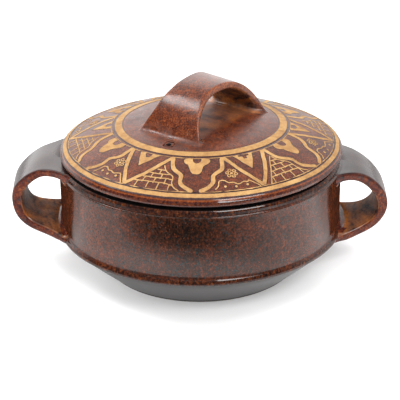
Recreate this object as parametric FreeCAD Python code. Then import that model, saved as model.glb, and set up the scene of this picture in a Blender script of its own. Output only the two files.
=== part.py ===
import FreeCAD, Part
import math
import os

# Round stoneware casserole with two side strap handles and a lift-off domed lid.
# Millimetres, +Z up. Origin: centre of the foot, on the surface the pot stands on.
# +X runs through the right handle, -Y is the side the lid's steam vent is on.

# ---------------------------------------------------------------- driving dimensions
# pot, as a body of revolution
FOOT_R = 73.0            # outer radius of the foot
FOOT_IN_R = 62.0         # inner radius of the foot's standing ring
FOOT_RECESS = 2.0        # depth of the trimmed recess under the foot
BEAD_R = 107.05          # largest radius, at the bead between cone and wall
BEAD_Z = 31.9            # height of that bead
SHOULDER_R = 105.1       # radius at the shoulder line below the rim band
SHOULDER_Z = 81.6
RIM_R = 104.0            # radius of the rim band
RIM_Z = 88.2             # height of the flat rim that carries the lid
MOUTH_R = 97.4           # inner radius at the mouth
FLOOR_Z = 9.0            # height of the inside floor
FLOOR_R = 60.0

# lid, as a body of revolution
LID_R = 105.0            # outermost radius of the lid's rounded edge
LID_EDGE_Z = 91.7        # height of that radius
LID_TOP_Z = 115.2        # crown of the dome
SEAT_OUT_R = 100.8       # the lid's flat seat, outer and inner radius
SEAT_IN_R = 88.6
LID_T = 6.4              # thickness of the dome
FLANGE_OUT_R = 95.0      # locating ring under the lid
FLANGE_IN_R = 90.2
FLANGE_DROP = 8.6
VENT_X, VENT_Y, VENT_R = -22.9, -46.2, 1.8

# laid-in bands of slip
BAND_DEPTH = 0.45
INNER_BAND = (58.3, 63.7)
OUTER_BAND = (99.65, 102.35)

# straps
STRAP_T = 5.8            # thickness of the side straps at their roots
LID_STRAP_T = 5.4        # thickness of the strap on the lid
SIDE_SWING = 2.2         # both side straps sit this many degrees to the front
LID_STRAP_AZ = 52.0      # direction of the lid strap's span, from +X
LID_STRAP_OFF = 3.2      # its sideways offset from the centre
SIDE_OFF = 1.7           # both side straps stand this much to the back
EDGE_R = 1.9             # rounding of the strap edges

# outer line of each side strap in its own plane: distance from the axis, height
LEFT_LINE = [(92.0, 83.6), (99.1, 85.4), (109.0, 86.9), (118.5, 85.5), (125.8, 81.9), (133.6, 75.4),
             (139.2, 67.1), (140.3, 58.0), (138.6, 49.2), (133.8, 41.7), (124.6, 36.2),
             (112.2, 32.3), (103.4, 28.6), (94.0, 22.5)]
LEFT_HALF = [(146.0, 18.9), (139.6, 19.3), (128.0, 22.1), (118.0, 25.3), (110.0, 29.2), (103.0, 34.6), (98.0, 38.8), (92.0, 43.4), (85.0, 48.0)]
RIGHT_LINE = [(92.0, 79.3), (98.6, 80.8), (108.0, 81.3), (117.0, 79.4), (126.6, 74.0), (134.0, 66.6),
              (139.0, 57.6), (140.1, 50.4), (137.6, 42.2), (131.8, 35.4), (124.0, 30.8),
              (114.8, 27.8), (104.8, 25.4), (94.0, 22.0)]
RIGHT_HALF = [(146.0, 17.9), (139.6, 18.3), (130.0, 20.3), (120.0, 23.3), (113.0, 26.5), (105.0, 30.7), (98.6, 34.6), (92.0, 38.6), (85.0, 42.4)]
# thickness at each of these points: the clay is thicker where the bend was pressed
LEFT_BODY = [STRAP_T, STRAP_T, STRAP_T, 5.9, 6.3, 7.0, 7.6, 7.8, 7.6, 7.2, 6.8, 6.6, 6.6, 6.6]
RIGHT_BODY = [6.0, 6.0, 6.0, 6.2, 6.7, 7.3, 7.8, 7.9, 7.6, 7.2, 6.9, 6.8, 6.8, 6.8]
# distance from the axis and height of the lines to which the lower feet are wrapped round the cone
LEFT_WRAP = [(80.0, 11.2), (88.0, 18.6), (94.0, 23.6), (98.6, 26.8), (103.4, 29.6), (107.0, 30.7), (112.0, 30.9), (116.5, 28.4), (118.5, 22.0)]
RIGHT_WRAP = [(80.0, 14.0), (90.0, 20.6), (94.0, 22.6), (100.0, 25.2), (104.8, 26.8), (109.0, 27.0), (114.0, 25.4), (118.0, 21.5), (119.5, 16.0)]

# outer line of the lid strap: distance along its span, height
LID_LINE = [(-46.6, 100.0), (-42.9, 107.8), (-38.8, 118.1), (-33.9, 126.5), (-27.4, 134.2), (-18.8, 140.5),
            (-7.6, 143.7), (4.5, 143.9), (16.5, 141.6), (27.5, 135.8), (35.7, 128.0), (41.3, 118.9),
            (45.6, 109.0), (49.0, 101.0)]
LID_HALF = [(-54.0, 37.0), (-47.0, 32.0), (-41.6, 28.0), (-34.0, 21.4), (-24.0, 17.6), (-8.0, 15.8), (6.0, 15.7),
            (20.0, 16.3), (31.0, 18.4), (39.0, 21.6), (45.4, 26.2), (50.5, 30.1), (56.0, 34.0)]

V = FreeCAD.Vector
os.makedirs("parts", exist_ok=True)


def spline(pts):
    c = Part.BSplineCurve()
    c.interpolate([V(*p) for p in pts])
    return c.toShape()


def line(a, b):
    return Part.makeLine(V(*a), V(*b))


def arc(a, m, b):
    return Part.Arc(V(*a), V(*m), V(*b)).toShape()


def turned(edges):
    """Solid of revolution about Z from a closed chain of edges in the XZ plane."""
    w = Part.Wire(Part.__sortEdges__(edges))
    return Part.Face(w).revolve(V(0, 0, 0), V(0, 0, 1), 360)


def rz(p):
    return (p[0], 0, p[1])


def normals(pts):
    out = []
    for i in range(len(pts)):
        a = pts[max(i - 1, 0)]
        b = pts[min(i + 1, len(pts) - 1)]
        dx, dz = b[0] - a[0], b[1] - a[1]
        n = math.hypot(dx, dz)
        out.append((dz / n, -dx / n))
    return out


def strap(line_pts, half_pts, thick, half_off):
    """A strap whose edge view is line_pts and whose plan is waisted by half_pts.

    The strap's edge view lies in the XZ plane; its width runs along Y. thick has one value for each point of the line.
    """
    inner = [(p[0] + t * n[0], p[1] + t * n[1]) for p, n, t in zip(line_pts, normals(line_pts), thick)]
    edges = [spline([rz(p) for p in line_pts]), line(rz(line_pts[-1]), rz(inner[-1])),
             spline([rz(p) for p in reversed(inner)]), line(rz(inner[0]), rz(line_pts[0]))]
    side = Part.Face(Part.Wire(edges)).extrude(V(0, 140, 0))
    side.translate(V(0, -70, 0))
    a = [(x, half_off + h, -60) for x, h in half_pts]
    b = [(x, half_off - h, -60) for x, h in half_pts]
    plan = [spline(a), line(a[-1], b[-1]), spline(list(reversed(b))), line(b[0], a[0])]
    plan = Part.Face(Part.Wire(plan)).extrude(V(0, 0, 280))
    return side.common(plan)


def rounded(shape, r):
    """Round the long edges of a strap, leaving the root ends that are cut away later."""
    edges = [e for e in shape.Edges if e.Length > 60]
    for rr in (r, r * 0.8, r * 0.6, r * 0.4):
        try:
            s = shape.makeFillet(rr, edges)
            if s.isValid() and 0 < s.Volume < shape.Volume:
                return s
        except Exception:
            pass
    print("strap edges left sharp", [round(e.Length) for e in shape.Edges])
    return shape


# ---------------------------------------------------------------- pot body
cone_out = [(FOOT_R + 1.0, 0, 1.2), (86.6, 0, 12.6), (97.0, 0, 22.2), (102.2, 0, 27.6), (104.3, 0, 30.2)]
bead_out = [(104.3, 0, 30.2), (105.8, 0, 30.5), (106.7, 0, 30.9), (BEAD_R, 0, BEAD_Z - 0.4), (BEAD_R, 0, BEAD_Z + 0.4), (106.75, 0, 33.3),
            (106.2, 0, 34.3), (105.5, 0, 35.3), (105.1, 0, 36.2)]
wall_out = [(105.1, 0, 36.2), (105.0, 0, 38.0), (105.0, 0, 44.0), (105.0, 0, 60.0), (105.0, 0, 74.0), (SHOULDER_R, 0, SHOULDER_Z)]
rim_out = [(SHOULDER_R, 0, SHOULDER_Z), (104.5, 0, 82.05), (104.2, 0, 82.7), (RIM_R + 0.05, 0, 83.6), (RIM_R - 0.05, 0, 84.5), (103.7, 0, 85.2),
           (103.35, 0, 85.75), (102.9, 0, 86.3), (102.3, 0, 86.7), (101.7, 0, 87.05), (101.1, 0, 87.7), (SEAT_OUT_R, 0, RIM_Z)]
inner_line = [(MOUTH_R, 0, RIM_Z - 1.2), (97.6, 0, 76.0), (98.3, 0, 58.0), (98.5, 0, 44.0), (96.9, 0, 34.6),
              (92.2, 0, 27.2), (83.0, 0, 18.6), (74.0, 0, 11.6), (67.5, 0, 9.5), (FLOOR_R, 0, FLOOR_Z)]

outer_edges = [
    line((0, 0, FOOT_RECESS), (FOOT_IN_R - 2.4, 0, FOOT_RECESS)),
    line((FOOT_IN_R - 2.4, 0, FOOT_RECESS), (FOOT_IN_R, 0, 0)),
    line((FOOT_IN_R, 0, 0), (FOOT_R, 0, 0)),
    arc((FOOT_R, 0, 0), (FOOT_R + 0.75, 0, 0.4), (FOOT_R + 1.0, 0, 1.2)),
    spline(cone_out), spline(bead_out), spline(wall_out), spline(rim_out),
]
pot_edges = outer_edges + [
    line(rim_out[-1], (MOUTH_R + 1.2, 0, RIM_Z)),
    arc((MOUTH_R + 1.2, 0, RIM_Z), (MOUTH_R + 0.35, 0, RIM_Z - 0.35), (MOUTH_R, 0, RIM_Z - 1.2)),
    spline(inner_line),
    line((FLOOR_R, 0, FLOOR_Z), (0, 0, FLOOR_Z)),
    line((0, 0, FLOOR_Z), (0, 0, FOOT_RECESS)),
]
pot = turned(pot_edges)
pot_full = turned(outer_edges + [line(rim_out[-1], (0, 0, RIM_Z)), line((0, 0, RIM_Z), (0, 0, FOOT_RECESS))])

# ---------------------------------------------------------------- lid
dome_top = [(0, 0, LID_TOP_Z), (14, 0, 115.0), (30, 0, 114.2), (46, 0, 112.6), (61, 0, 110.2), (76, 0, 106.4), (90, 0, 101.3), (98, 0, 97.8),
            (101, 0, 96.25), (102.35, 0, 95.5), (103.15, 0, 94.95), (103.6, 0, 94.45), (104.15, 0, 93.65), (104.5, 0, 93.12), (104.8, 0, 92.6),
            (104.95, 0, 92.2), (LID_R, 0, LID_EDGE_Z)]
dome_under = [(SEAT_IN_R, 0, RIM_Z + 4.4), (80.0, 0, 98.4), (66.0, 0, 102.7), (48.0, 0, 106.0), (30.0, 0, 107.8),
              (14.0, 0, 108.6), (0, 0, LID_TOP_Z - LID_T)]
c = Part.BSplineCurve()
c.interpolate(Points=[V(*p) for p in dome_top], InitialTangent=V(14, 0, 0), FinalTangent=V(0, 0, -1.6))
top_edge = c.toShape()
c = Part.BSplineCurve()
c.interpolate(Points=[V(*p) for p in dome_under], InitialTangent=V(-6, 0, 6), FinalTangent=V(-14, 0, 0))
under_edge = c.toShape()
lid_edges = [
    top_edge,
    spline([(LID_R, 0, LID_EDGE_Z), (104.9, 0, 90.9), (104.5, 0, 90.2), (103.3, 0, 89.2), (SEAT_OUT_R, 0, RIM_Z)]),
    line((SEAT_OUT_R, 0, RIM_Z), (SEAT_IN_R, 0, RIM_Z)),
    line((SEAT_IN_R, 0, RIM_Z), (SEAT_IN_R, 0, RIM_Z + 4.4)),
    under_edge,
    line((0, 0, LID_TOP_Z - LID_T), (0, 0, LID_TOP_Z)),
]
lid_full = turned(lid_edges)


def tube(r1, r2, z1, z2):
    t = Part.makeCylinder(r2, z2 - z1, V(0, 0, z1))
    return t.cut(Part.makeCylinder(r1, z2 - z1, V(0, 0, z1)))


def band(r1, r2):
    """Ring of slip, BAND_DEPTH deep, laid into the top of the lid."""
    low = lid_full.copy()
    low.translate(V(0, 0, -BAND_DEPTH))
    ring = tube(r1, r2, 92.6, 125)
    return lid_full.common(ring).cut(low)


inner_band = band(*INNER_BAND)
outer_band = band(*OUTER_BAND)
vent = Part.makeCylinder(VENT_R, 40, V(VENT_X, VENT_Y, 90))
lid_dome = lid_full.cut(inner_band).cut(outer_band).cut(vent)

flange_z = RIM_Z - FLANGE_DROP
lid_flange = turned([
    line((FLANGE_IN_R, 0, RIM_Z), (FLANGE_OUT_R, 0, RIM_Z)),
    line((FLANGE_OUT_R, 0, RIM_Z), (FLANGE_OUT_R - 0.5, 0, flange_z + 1.8)),
    arc((FLANGE_OUT_R - 0.5, 0, flange_z + 1.8), (FLANGE_OUT_R - 2.3, 0, flange_z), (FLANGE_OUT_R - 4.0, 0, flange_z + 1.8)),
    line((FLANGE_OUT_R - 4.0, 0, flange_z + 1.8), (FLANGE_IN_R, 0, RIM_Z)),
])

# ---------------------------------------------------------------- straps
def below(pts):
    """Ring-shaped space under a line that runs round the axis."""
    a, b = pts[0], pts[-1]
    return turned([spline([rz(p) for p in pts]), line(rz(b), (b[0], 0, 0)), line((b[0], 0, 0), (a[0], 0, 0)), line((a[0], 0, 0), rz(a))])


left = rounded(strap(LEFT_LINE, LEFT_HALF, LEFT_BODY, -SIDE_OFF), EDGE_R)
left.rotate(V(0, 0, 0), V(0, 0, 1), 180 + SIDE_SWING)
left_handle = left.cut(pot_full).cut(below(LEFT_WRAP))
right = rounded(strap(RIGHT_LINE, RIGHT_HALF, RIGHT_BODY, SIDE_OFF), EDGE_R)
right.rotate(V(0, 0, 0), V(0, 0, 1), -SIDE_SWING)
right_handle = right.cut(pot_full).cut(below(RIGHT_WRAP))

top = rounded(strap(LID_LINE, LID_HALF, [LID_STRAP_T] * len(LID_LINE), -LID_STRAP_OFF), EDGE_R * 0.9)
top.rotate(V(0, 0, 0), V(0, 0, 1), LID_STRAP_AZ)
lid_handle = top.cut(turned([top_edge, line((LID_R, 0, LID_EDGE_Z), (LID_R, 0, 60)), line((LID_R, 0, 60), (0, 0, 60)),
                             line((0, 0, 60), (0, 0, LID_TOP_Z))]))


def biggest(shape):
    return max(shape.Solids, key=lambda s: s.Volume)


nodes = {
    "pot_body": pot,
    "left_handle": left_handle,
    "right_handle": right_handle,
    "lid_dome": lid_dome,
    "lid_flange": lid_flange,
    "lid_handle": lid_handle,
    "inner_slip_band": inner_band,
    "outer_slip_band": outer_band,
}
for name, shape in nodes.items():
    s = biggest(shape)
    if not s.isValid():
        s.fix(0.01, 0.01, 0.01)
    b = s.optimalBoundingBox(False)
    print("%-16s solids %d valid %s volume %.1f cm3  x %.1f..%.1f  y %.1f..%.1f  z %.1f..%.1f" % (
        name, len(shape.Solids), s.isValid(), s.Volume / 1000.0, b.XMin, b.XMax, b.YMin, b.YMax, b.ZMin, b.ZMax))
    s.exportStep("parts/%s.step" % name)
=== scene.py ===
import math

import bpy
import numpy as np
from mathutils import Matrix, Vector, geometry


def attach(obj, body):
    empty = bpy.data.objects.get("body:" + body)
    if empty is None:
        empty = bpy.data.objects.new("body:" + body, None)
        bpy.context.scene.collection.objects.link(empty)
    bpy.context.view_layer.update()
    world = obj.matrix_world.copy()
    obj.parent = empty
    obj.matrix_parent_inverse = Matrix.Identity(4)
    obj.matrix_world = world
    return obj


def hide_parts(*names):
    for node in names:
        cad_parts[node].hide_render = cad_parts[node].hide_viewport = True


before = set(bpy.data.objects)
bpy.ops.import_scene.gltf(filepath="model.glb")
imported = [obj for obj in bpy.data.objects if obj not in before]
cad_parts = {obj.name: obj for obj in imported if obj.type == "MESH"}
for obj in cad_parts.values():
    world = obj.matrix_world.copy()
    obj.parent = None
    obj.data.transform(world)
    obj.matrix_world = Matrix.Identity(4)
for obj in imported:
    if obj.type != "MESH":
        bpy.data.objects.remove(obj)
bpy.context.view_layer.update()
scene = bpy.context.scene
rng = np.random.default_rng(11)

MM = 0.001

# ------------------------------------------------------------------ small helpers


def spline(pts, step):
    """Points along a smooth line through pts (natural cubic over chord length), about step apart, with tangents."""
    p = np.array(pts, float)
    t = np.concatenate([[0], np.cumsum(np.hypot(*np.diff(p, axis=0).T))])
    n = len(t)
    h = np.diff(t)
    A = np.zeros((n, n))
    B = np.zeros((n, p.shape[1]))
    A[0, 0] = A[-1, -1] = 1
    for i in range(1, n - 1):
        A[i, i - 1], A[i, i], A[i, i + 1] = h[i - 1], 2 * (h[i - 1] + h[i]), h[i]
        B[i] = 6 * ((p[i + 1] - p[i]) / h[i] - (p[i] - p[i - 1]) / h[i - 1])
    M = np.linalg.solve(A, B)
    s = np.linspace(0, t[-1], max(2, int(round(t[-1] / step)) + 1))
    k = np.clip(np.searchsorted(t, s, side="right") - 1, 0, n - 2)
    a, b, hk = (t[k + 1] - s)[:, None], (s - t[k])[:, None], h[k][:, None]
    q = (M[k] * a ** 3 + M[k + 1] * b ** 3) / (6 * hk) + (p[k] / hk - M[k] * hk / 6) * a + (p[k + 1] / hk - M[k + 1] * hk / 6) * b
    d = (-M[k] * a ** 2 + M[k + 1] * b ** 2) / (2 * hk) - (p[k] / hk - M[k] * hk / 6) + (p[k + 1] / hk - M[k + 1] * hk / 6)
    d /= np.hypot(*d.T)[:, None]
    return q, d


def chain(*parts):
    """Joins runs of (r, z) points and drops doubled ones."""
    out = []
    for part in parts:
        for q in part:
            q = (float(q[0]), float(q[1]))
            if not out or math.hypot(q[0] - out[-1][0], q[1] - out[-1][1]) > 0.02:
                out.append(q)
    return out


def run(a, b, step):
    n = max(1, int(round(math.hypot(b[0] - a[0], b[1] - a[1]) / step)))
    return [(a[0] + (b[0] - a[0]) * i / n, a[1] + (b[1] - a[1]) * i / n) for i in range(n + 1)]


def waves(x, y, scale, seed, n=14):
    """Smooth seeded noise over the plane, about -1 to 1, with bumps about scale across."""
    g = np.random.default_rng(seed)
    out = np.zeros_like(x)
    for _ in range(n):
        a, w, p = g.uniform(0, 2 * math.pi), 2 * math.pi / (scale * g.uniform(0.7, 2.2)), g.uniform(0, 2 * math.pi)
        out += np.sin((x * math.cos(a) + y * math.sin(a)) * w + p)
    return out / math.sqrt(n / 2) * 0.6


def waves3(p, scale, seed, n=14):
    g = np.random.default_rng(seed)
    out = np.zeros(len(p))
    for _ in range(n):
        v = g.normal(size=3)
        v *= 2 * math.pi / (np.linalg.norm(v) * scale * g.uniform(0.7, 2.2))
        out += np.sin(p @ v + g.uniform(0, 2 * math.pi))
    return out / math.sqrt(n / 2) * 0.6


def side(points, prof):
    """Signed distance in the (r, z) half plane from points to the closed outline prof, positive outside."""
    a = np.array(prof, float)
    b = np.roll(a, -1, 0)
    ab = b - a
    L = np.maximum((ab ** 2).sum(1), 1e-12)
    best = np.full(len(points), 1e9)
    inside = np.zeros(len(points), bool)
    for k in range(len(a)):
        t = np.clip(((points - a[k]) @ ab[k]) / L[k], 0, 1)
        d = np.hypot(*(points - a[k] - t[:, None] * ab[k]).T)
        best = np.minimum(best, d)
        cond = (a[k, 1] > points[:, 1]) != (b[k, 1] > points[:, 1])
        with np.errstate(divide="ignore", invalid="ignore"):
            xc = a[k, 0] + (points[:, 1] - a[k, 1]) * ab[k, 0] / ab[k, 1]
        inside ^= cond & (points[:, 0] < xc)
    return np.where(inside, -best, best)


def make(name, verts, faces, attrs=None, mats=None, index=None):
    """Mesh object from millimetre vertices, smooth shaded."""
    me = bpy.data.meshes.new(name)
    me.from_pydata([tuple(v) for v in np.asarray(verts, float) * MM], [], faces)
    for key, val in (attrs or {}).items():
        at = me.attributes.new(key, "FLOAT", "POINT")
        at.data.foreach_set("value", np.asarray(val, np.float32))
    for m in mats or []:
        me.materials.append(m)
    if index is not None:
        me.polygons.foreach_set("material_index", np.asarray(index, np.int32))
    me.polygons.foreach_set("use_smooth", [True] * len(me.polygons))
    me.update()
    me.validate()
    ob = bpy.data.objects.new(name, me)
    scene.collection.objects.link(ob)
    return ob


# ------------------------------------------------------------------ profiles (mm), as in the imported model
cone_out = [(74.0, 1.2), (86.6, 12.6), (97.0, 22.2), (102.2, 27.6), (104.3, 30.2)]
bead_out = [(104.3, 30.2), (105.8, 30.5), (106.7, 30.9), (107.05, 31.5), (107.05, 32.3), (106.75, 33.3), (106.2, 34.3), (105.5, 35.3),
            (105.1, 36.2)]
wall_out = [(105.1, 36.2), (105.0, 38.0), (105.0, 44.0), (105.0, 60.0), (105.0, 74.0), (105.1, 81.6)]
rim_out = [(105.1, 81.6), (104.5, 82.05), (104.2, 82.7), (104.05, 83.6), (103.95, 84.5), (103.7, 85.2), (103.35, 85.75), (102.9, 86.3),
           (102.3, 86.7), (101.7, 87.05), (101.1, 87.7), (100.8, 88.2)]
inner = [(97.4, 87.0), (97.6, 76.0), (98.3, 58.0), (98.5, 44.0), (96.9, 34.6), (92.2, 27.2), (83.0, 18.6), (74.0, 11.6),
         (67.5, 9.5), (60.0, 9.0)]


def arc(c, r, a0, a1, n):
    return [(c[0] + r * math.cos(math.radians(a0 + (a1 - a0) * i / n)), c[1] + r * math.sin(math.radians(a0 + (a1 - a0) * i / n)))
            for i in range(n + 1)]


foot_line = chain(run((0, 2.0), (57.0, 2.0), 4.0), run((57.0, 2.0), (59.2, 2.0), 0.6), run((59.2, 2.0), (61.6, 0.25), 0.5),
                  [(62.0, 0.06), (62.6, 0.0)], run((62.6, 0.0), (72.6, 0.0), 1.2), arc((72.8, 1.2), 1.2, -90, 0, 5))
pot_outer = chain(foot_line, spline(cone_out, 0.9)[0], spline(bead_out, 0.35)[0], spline(wall_out, 1.0)[0],
                  spline(rim_out, 0.35)[0])
pot_inner = chain(run((100.8, 88.2), (98.6, 88.2), 0.8), arc((98.6, 87.0), 1.2, 90, 180, 5), spline(inner, 1.3)[0],
                  run((60.0, 9.0), (0, 9.0), 3.0))
pot_full = pot_outer + [(0.0, 88.2)]

dome_pts = [(0, 115.2), (14, 115.0), (30, 114.2), (46, 112.6), (61, 110.2), (76, 106.4), (90, 101.3), (98, 97.8), (101, 96.25),
            (102.35, 95.5), (103.15, 94.95), (103.6, 94.45), (104.15, 93.65), (104.5, 93.12), (104.8, 92.6), (104.95, 92.2), (105, 91.7)]
# mirrored start keeps the crown flat on the axis
dome_curve = spline([(-14, 115.0)] + dome_pts, 0.25)[0]
dome_curve = dome_curve[dome_curve[:, 0] >= 0]
dome_curve[0] = (0, 115.2)
CROWN_R = dome_curve[:, 0]
CROWN_Z = dome_curve[:, 1]
CROWN_TOP = int(np.argmax(CROWN_R))


def dome(r):
    return np.interp(r, CROWN_R[: CROWN_TOP + 1], CROWN_Z[: CROWN_TOP + 1])


# lines turned into the lid: radius, width, depth
GROOVES = [(57.3, 0.28, 0.10), (64.7, 0.42, 0.16), (98.95, 0.36, 0.14), (102.85, 0.34, 0.14)]


def groove(r):
    return -sum(d * np.exp(-((r - c) / w) ** 2) for c, w, d in GROOVES)


LID_EDGE = chain(spline([(105, 91.7), (104.9, 90.9), (104.5, 90.2), (103.3, 89.2), (100.8, 88.2)], 0.35)[0])

# ------------------------------------------------------------------ turned shells
SEG = 288


def turn(prof, seg, phase=0.0, shape=None):
    """Vertices and faces of a closed turned body whose outline starts and ends on the axis."""
    prof = [p for p in prof]
    th = 2 * math.pi * (np.arange(seg) + phase) / seg
    rings = np.array(prof[1:-1])
    R = np.repeat(rings[:, 0][:, None], seg, 1)
    Z = np.repeat(rings[:, 1][:, None], seg, 1)
    T = np.repeat(th[None, :], len(rings), 0)
    if shape is not None:
        R, Z = shape(R, Z, T)
    V = np.stack([R * np.cos(T), R * np.sin(T), Z], -1).reshape(-1, 3)
    V = np.vstack([V, [[0, 0, prof[0][1]], [0, 0, prof[-1][1]]]])
    a, b = len(V) - 2, len(V) - 1
    F = [(a, j, (j + 1) % seg) for j in range(seg)]
    for i in range(len(rings) - 1):
        for j in range(seg):
            k = (j + 1) % seg
            F.append((i * seg + j, (i + 1) * seg + j, (i + 1) * seg + k, i * seg + k))
    last = (len(rings) - 1) * seg
    F += [(b, last + (j + 1) % seg, last + j) for j in range(seg)]
    return V, F


def outward(V, F):
    """Turns all faces if the body's volume comes out negative."""
    vol = 0.0
    for f in F[:: max(1, len(F) // 4000)]:
        p = V[list(f)]
        vol += float(np.dot(p[0], np.cross(p[1], p[2])))
        if len(f) == 4:
            vol += float(np.dot(p[0], np.cross(p[2], p[3])))
    return F if vol > 0 else [tuple(reversed(f)) for f in F]


def thrown(R, Z, T):
    """Slight throwing rings and a hint of ovality, none on the flat seat and the foot."""
    free = np.clip((Z - 1.5) / 8, 0, 1) * np.clip((87.0 - Z) / 3, 0, 1)
    ring = 0.012 * np.sin(Z * 0.55 + 0.7 * np.sin(Z * 0.21) + 0.6 * np.cos(T)) + 0.005 * np.sin(Z * 1.3 + 1.3)
    oval = 0.12 * np.cos(2 * T + 0.6) + 0.06 * np.cos(3 * T + 2.1)
    calm = np.where(((Z > 29) & (Z < 37.5)) | (Z > 80.0), 0.2, 1.0)
    return R + free * (ring * calm * 0.8 + oval), Z


V, F = turn(pot_outer + pot_inner[1:], SEG, 0.0, thrown)
F = outward(V, F)
r_, z_ = np.hypot(V[:, 0], V[:, 1]), V[:, 2]
out_ = r_ > 99.5


def bell(x, c, w):
    return np.exp(-((x - c) / w) ** 2)


pot_rust_light_and_shade = np.where(out_, np.clip(0.30 * bell(z_, 33.4, 2.2) + 0.25 * bell(z_, 81.5, 0.6) + 0.35 * bell(z_, 85.6, 0.6), 0, 1),
                    np.where(z_ > 85.5, bell(r_, 98.0, 1.1), 0.0))
# near black: painted shade in the gallery under the lid and in the crease above the bead, a painted dark reflection
# along the rim band, and under the bead dark glaze pooled there together with painted shade under its overhang
pot_shade_and_pool = np.clip(np.where((r_ > 100.6) & (r_ < 102.9) & (z_ > 86.5), 1.0, 0.0) + 0.45 * bell(z_, 83.9, 0.9) * out_ + 0.55 * bell(z_, 30.9, 0.7) * out_
                    + 0.35 * bell(z_, 35.9, 0.5) * out_, 0, 1)
pot_turn = np.abs(np.degrees(np.arctan2(V[:, 1], np.abs(V[:, 0]))))
pot_rust_light_and_shade = np.clip(pot_rust_light_and_shade + 0.05 * out_ * np.clip((23.0 - pot_turn) / 3.0, 0, 1) * np.clip((z_ - 36.0) / 3.0, 0, 1) * np.clip((80.0 - z_) / 3.0, 0, 1), 0, 1)
pot_front = np.abs(np.degrees(np.arctan2(V[:, 0], -V[:, 1])))
# painted shade: darker between the feet of each handle
pot_shade_and_pool = np.clip(pot_shade_and_pool + 0.12 * out_ * np.clip((23.0 - pot_turn) / 3.0, 0, 1) * np.clip((z_ - 36.0) / 3.0, 0, 1) * np.clip((80.0 - z_) / 3.0, 0, 1), 0, 1)
# painted light: the glaze colour is lighter and redder on the sides and back of the wall than at its front
pot_side_light = out_ * np.clip((pot_front - 12.0) / 30.0, 0, 1) * np.clip((81.0 - z_) / 4.0, 0, 1)
pot_rust_light_and_shade = np.clip(pot_rust_light_and_shade + 0.58 * pot_side_light, 0, 1)
pot_band = np.clip(out_ * (np.clip((z_ - 82.3) / 0.9, 0, 1) * np.clip((88.1 - z_) / 0.3, 0, 1) + np.clip((z_ - 30.6) / 0.6, 0, 1) * np.clip((35.6 - z_) / 1.0, 0, 1)), 0, 1)
# the wall between each handle's feet: painted shade, a darker colour and less gloss
pot_between_shade = out_ * np.clip((23.0 - pot_turn) / 3.0, 0, 1) * np.clip((z_ - 36.0) / 3.0, 0, 1) * np.clip((80.0 - z_) / 3.0, 0, 1)
pot_ahead = out_ * (V[:, 1] < 0)
# painted shade: darker glaze colour and less gloss on the upper middle of the wall's front
pot_front_shade = pot_ahead * bell(V[:, 0], -11.0, 27.0) * bell(z_, 70.0, 13.0)
pot_rust_light_and_shade = pot_rust_light_and_shade - 0.75 * pot_front_shade - 0.30 * pot_between_shade
pot_shine = 1 - 0.75 * pot_front_shade
pot_shine = pot_shine - 0.25 * pot_ahead * bell(V[:, 0], 50.0, 27.0) * np.clip((z_ - 38.0) / 8.0, 0, 1) * np.clip((80.0 - z_) / 5.0, 0, 1)
pot_shine = pot_shine * (1 - 0.62 * out_ * np.clip((z_ - 82.6) / 0.6, 0, 1) * np.clip((88.1 - z_) / 0.3, 0, 1) * np.clip((np.abs(V[:, 0] - 22.0) - 24.0) / 14.0, 0, 1))
# painted shade beside each handle's feet: no gloss and a darker colour
pot_strip_shade = out_ * np.clip((29.5 - pot_turn) / 2.5, 0, 1) * np.clip((z_ - 36.0) / 3.0, 0, 1) * np.clip((80.0 - z_) / 3.0, 0, 1)
pot_shine = pot_shine * (1 - pot_strip_shade)
pot_rust_light_and_shade = pot_rust_light_and_shade - 0.22 * (pot_strip_shade - pot_between_shade)
pot_shine = pot_shine + 0.40 * pot_ahead * bell(z_, 81.85, 0.50) * np.clip((-8.0 - V[:, 0]) / 20.0, 0, 1)
pot_bare = np.clip(np.where((z_ > 88.1) & (r_ > 98.4) & (r_ < 100.7), 1.0, 0.0) + np.where((z_ < 0.35), 1.0, 0.0), 0, 1)
pot_cone = np.clip((31.0 - z_) / 2.0, 0, 1) * (r_ > 60) * np.where((z_ > 9.5) & (r_ < 97) & (r_ < 62 + z_), 0, 1)
mid_r = np.array([r_[list(f)].mean() for f in F])
mid_z = np.array([z_[list(f)].mean() for f in F])
# faces in the gallery under the lid take the near-black painted-shade material
pot_data = dict(verts=V, faces=F, index=((mid_r > 100.7) & (mid_r < 102.75) & (mid_z > 86.6)).astype(int), attrs={"edge": pot_rust_light_and_shade, "bare": pot_bare, "cone": pot_cone, "black": pot_shade_and_pool, "band": pot_band, "shine": pot_shine})

# lid: crown, rounded edge, flat seat, locating ring, hollow underside
fine = [0.0]
r = 0.0
while r < 103.6:
    near = min(abs(r - g[0]) for g in GROOVES)
    r += 0.22 if near < 1.0 else 1.0 if r > 20 else 2.0
    fine.append(min(r, 103.6))
VENT = np.array([-22.9, -46.2])
VENT_R = 1.8
vr = float(np.hypot(*VENT))
# rings round the vent sit at even steps so that the opening can be let in
fine = [q for q in fine if not vr - 3.6 < q < vr + 3.6] + [vr + 1.0 * k for k in range(-3, 4)]
fine = sorted(fine)
top_line = [(q, float(dome(q) + groove(np.array(q)))) for q in fine]
edge_line = [(float(a), float(b)) for a, b in dome_curve[: CROWN_TOP + 1] if a > 103.75] + [(105.0, 91.7)]
under_curve = spline([(89.9, 87.6), (89.3, 90.2), (87.3, 94.0), (82.0, 97.9), (74.0, 100.5), (66.0, 102.7), (48.0, 106.0), (30.0, 107.8),
                      (14.0, 108.6), (0, 108.8), (-14.0, 108.6)], 0.25)[0]
uo = under_curve[:, 0].argsort()


def under(r):
    return np.interp(r, under_curve[uo, 0], under_curve[uo, 1])


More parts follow.
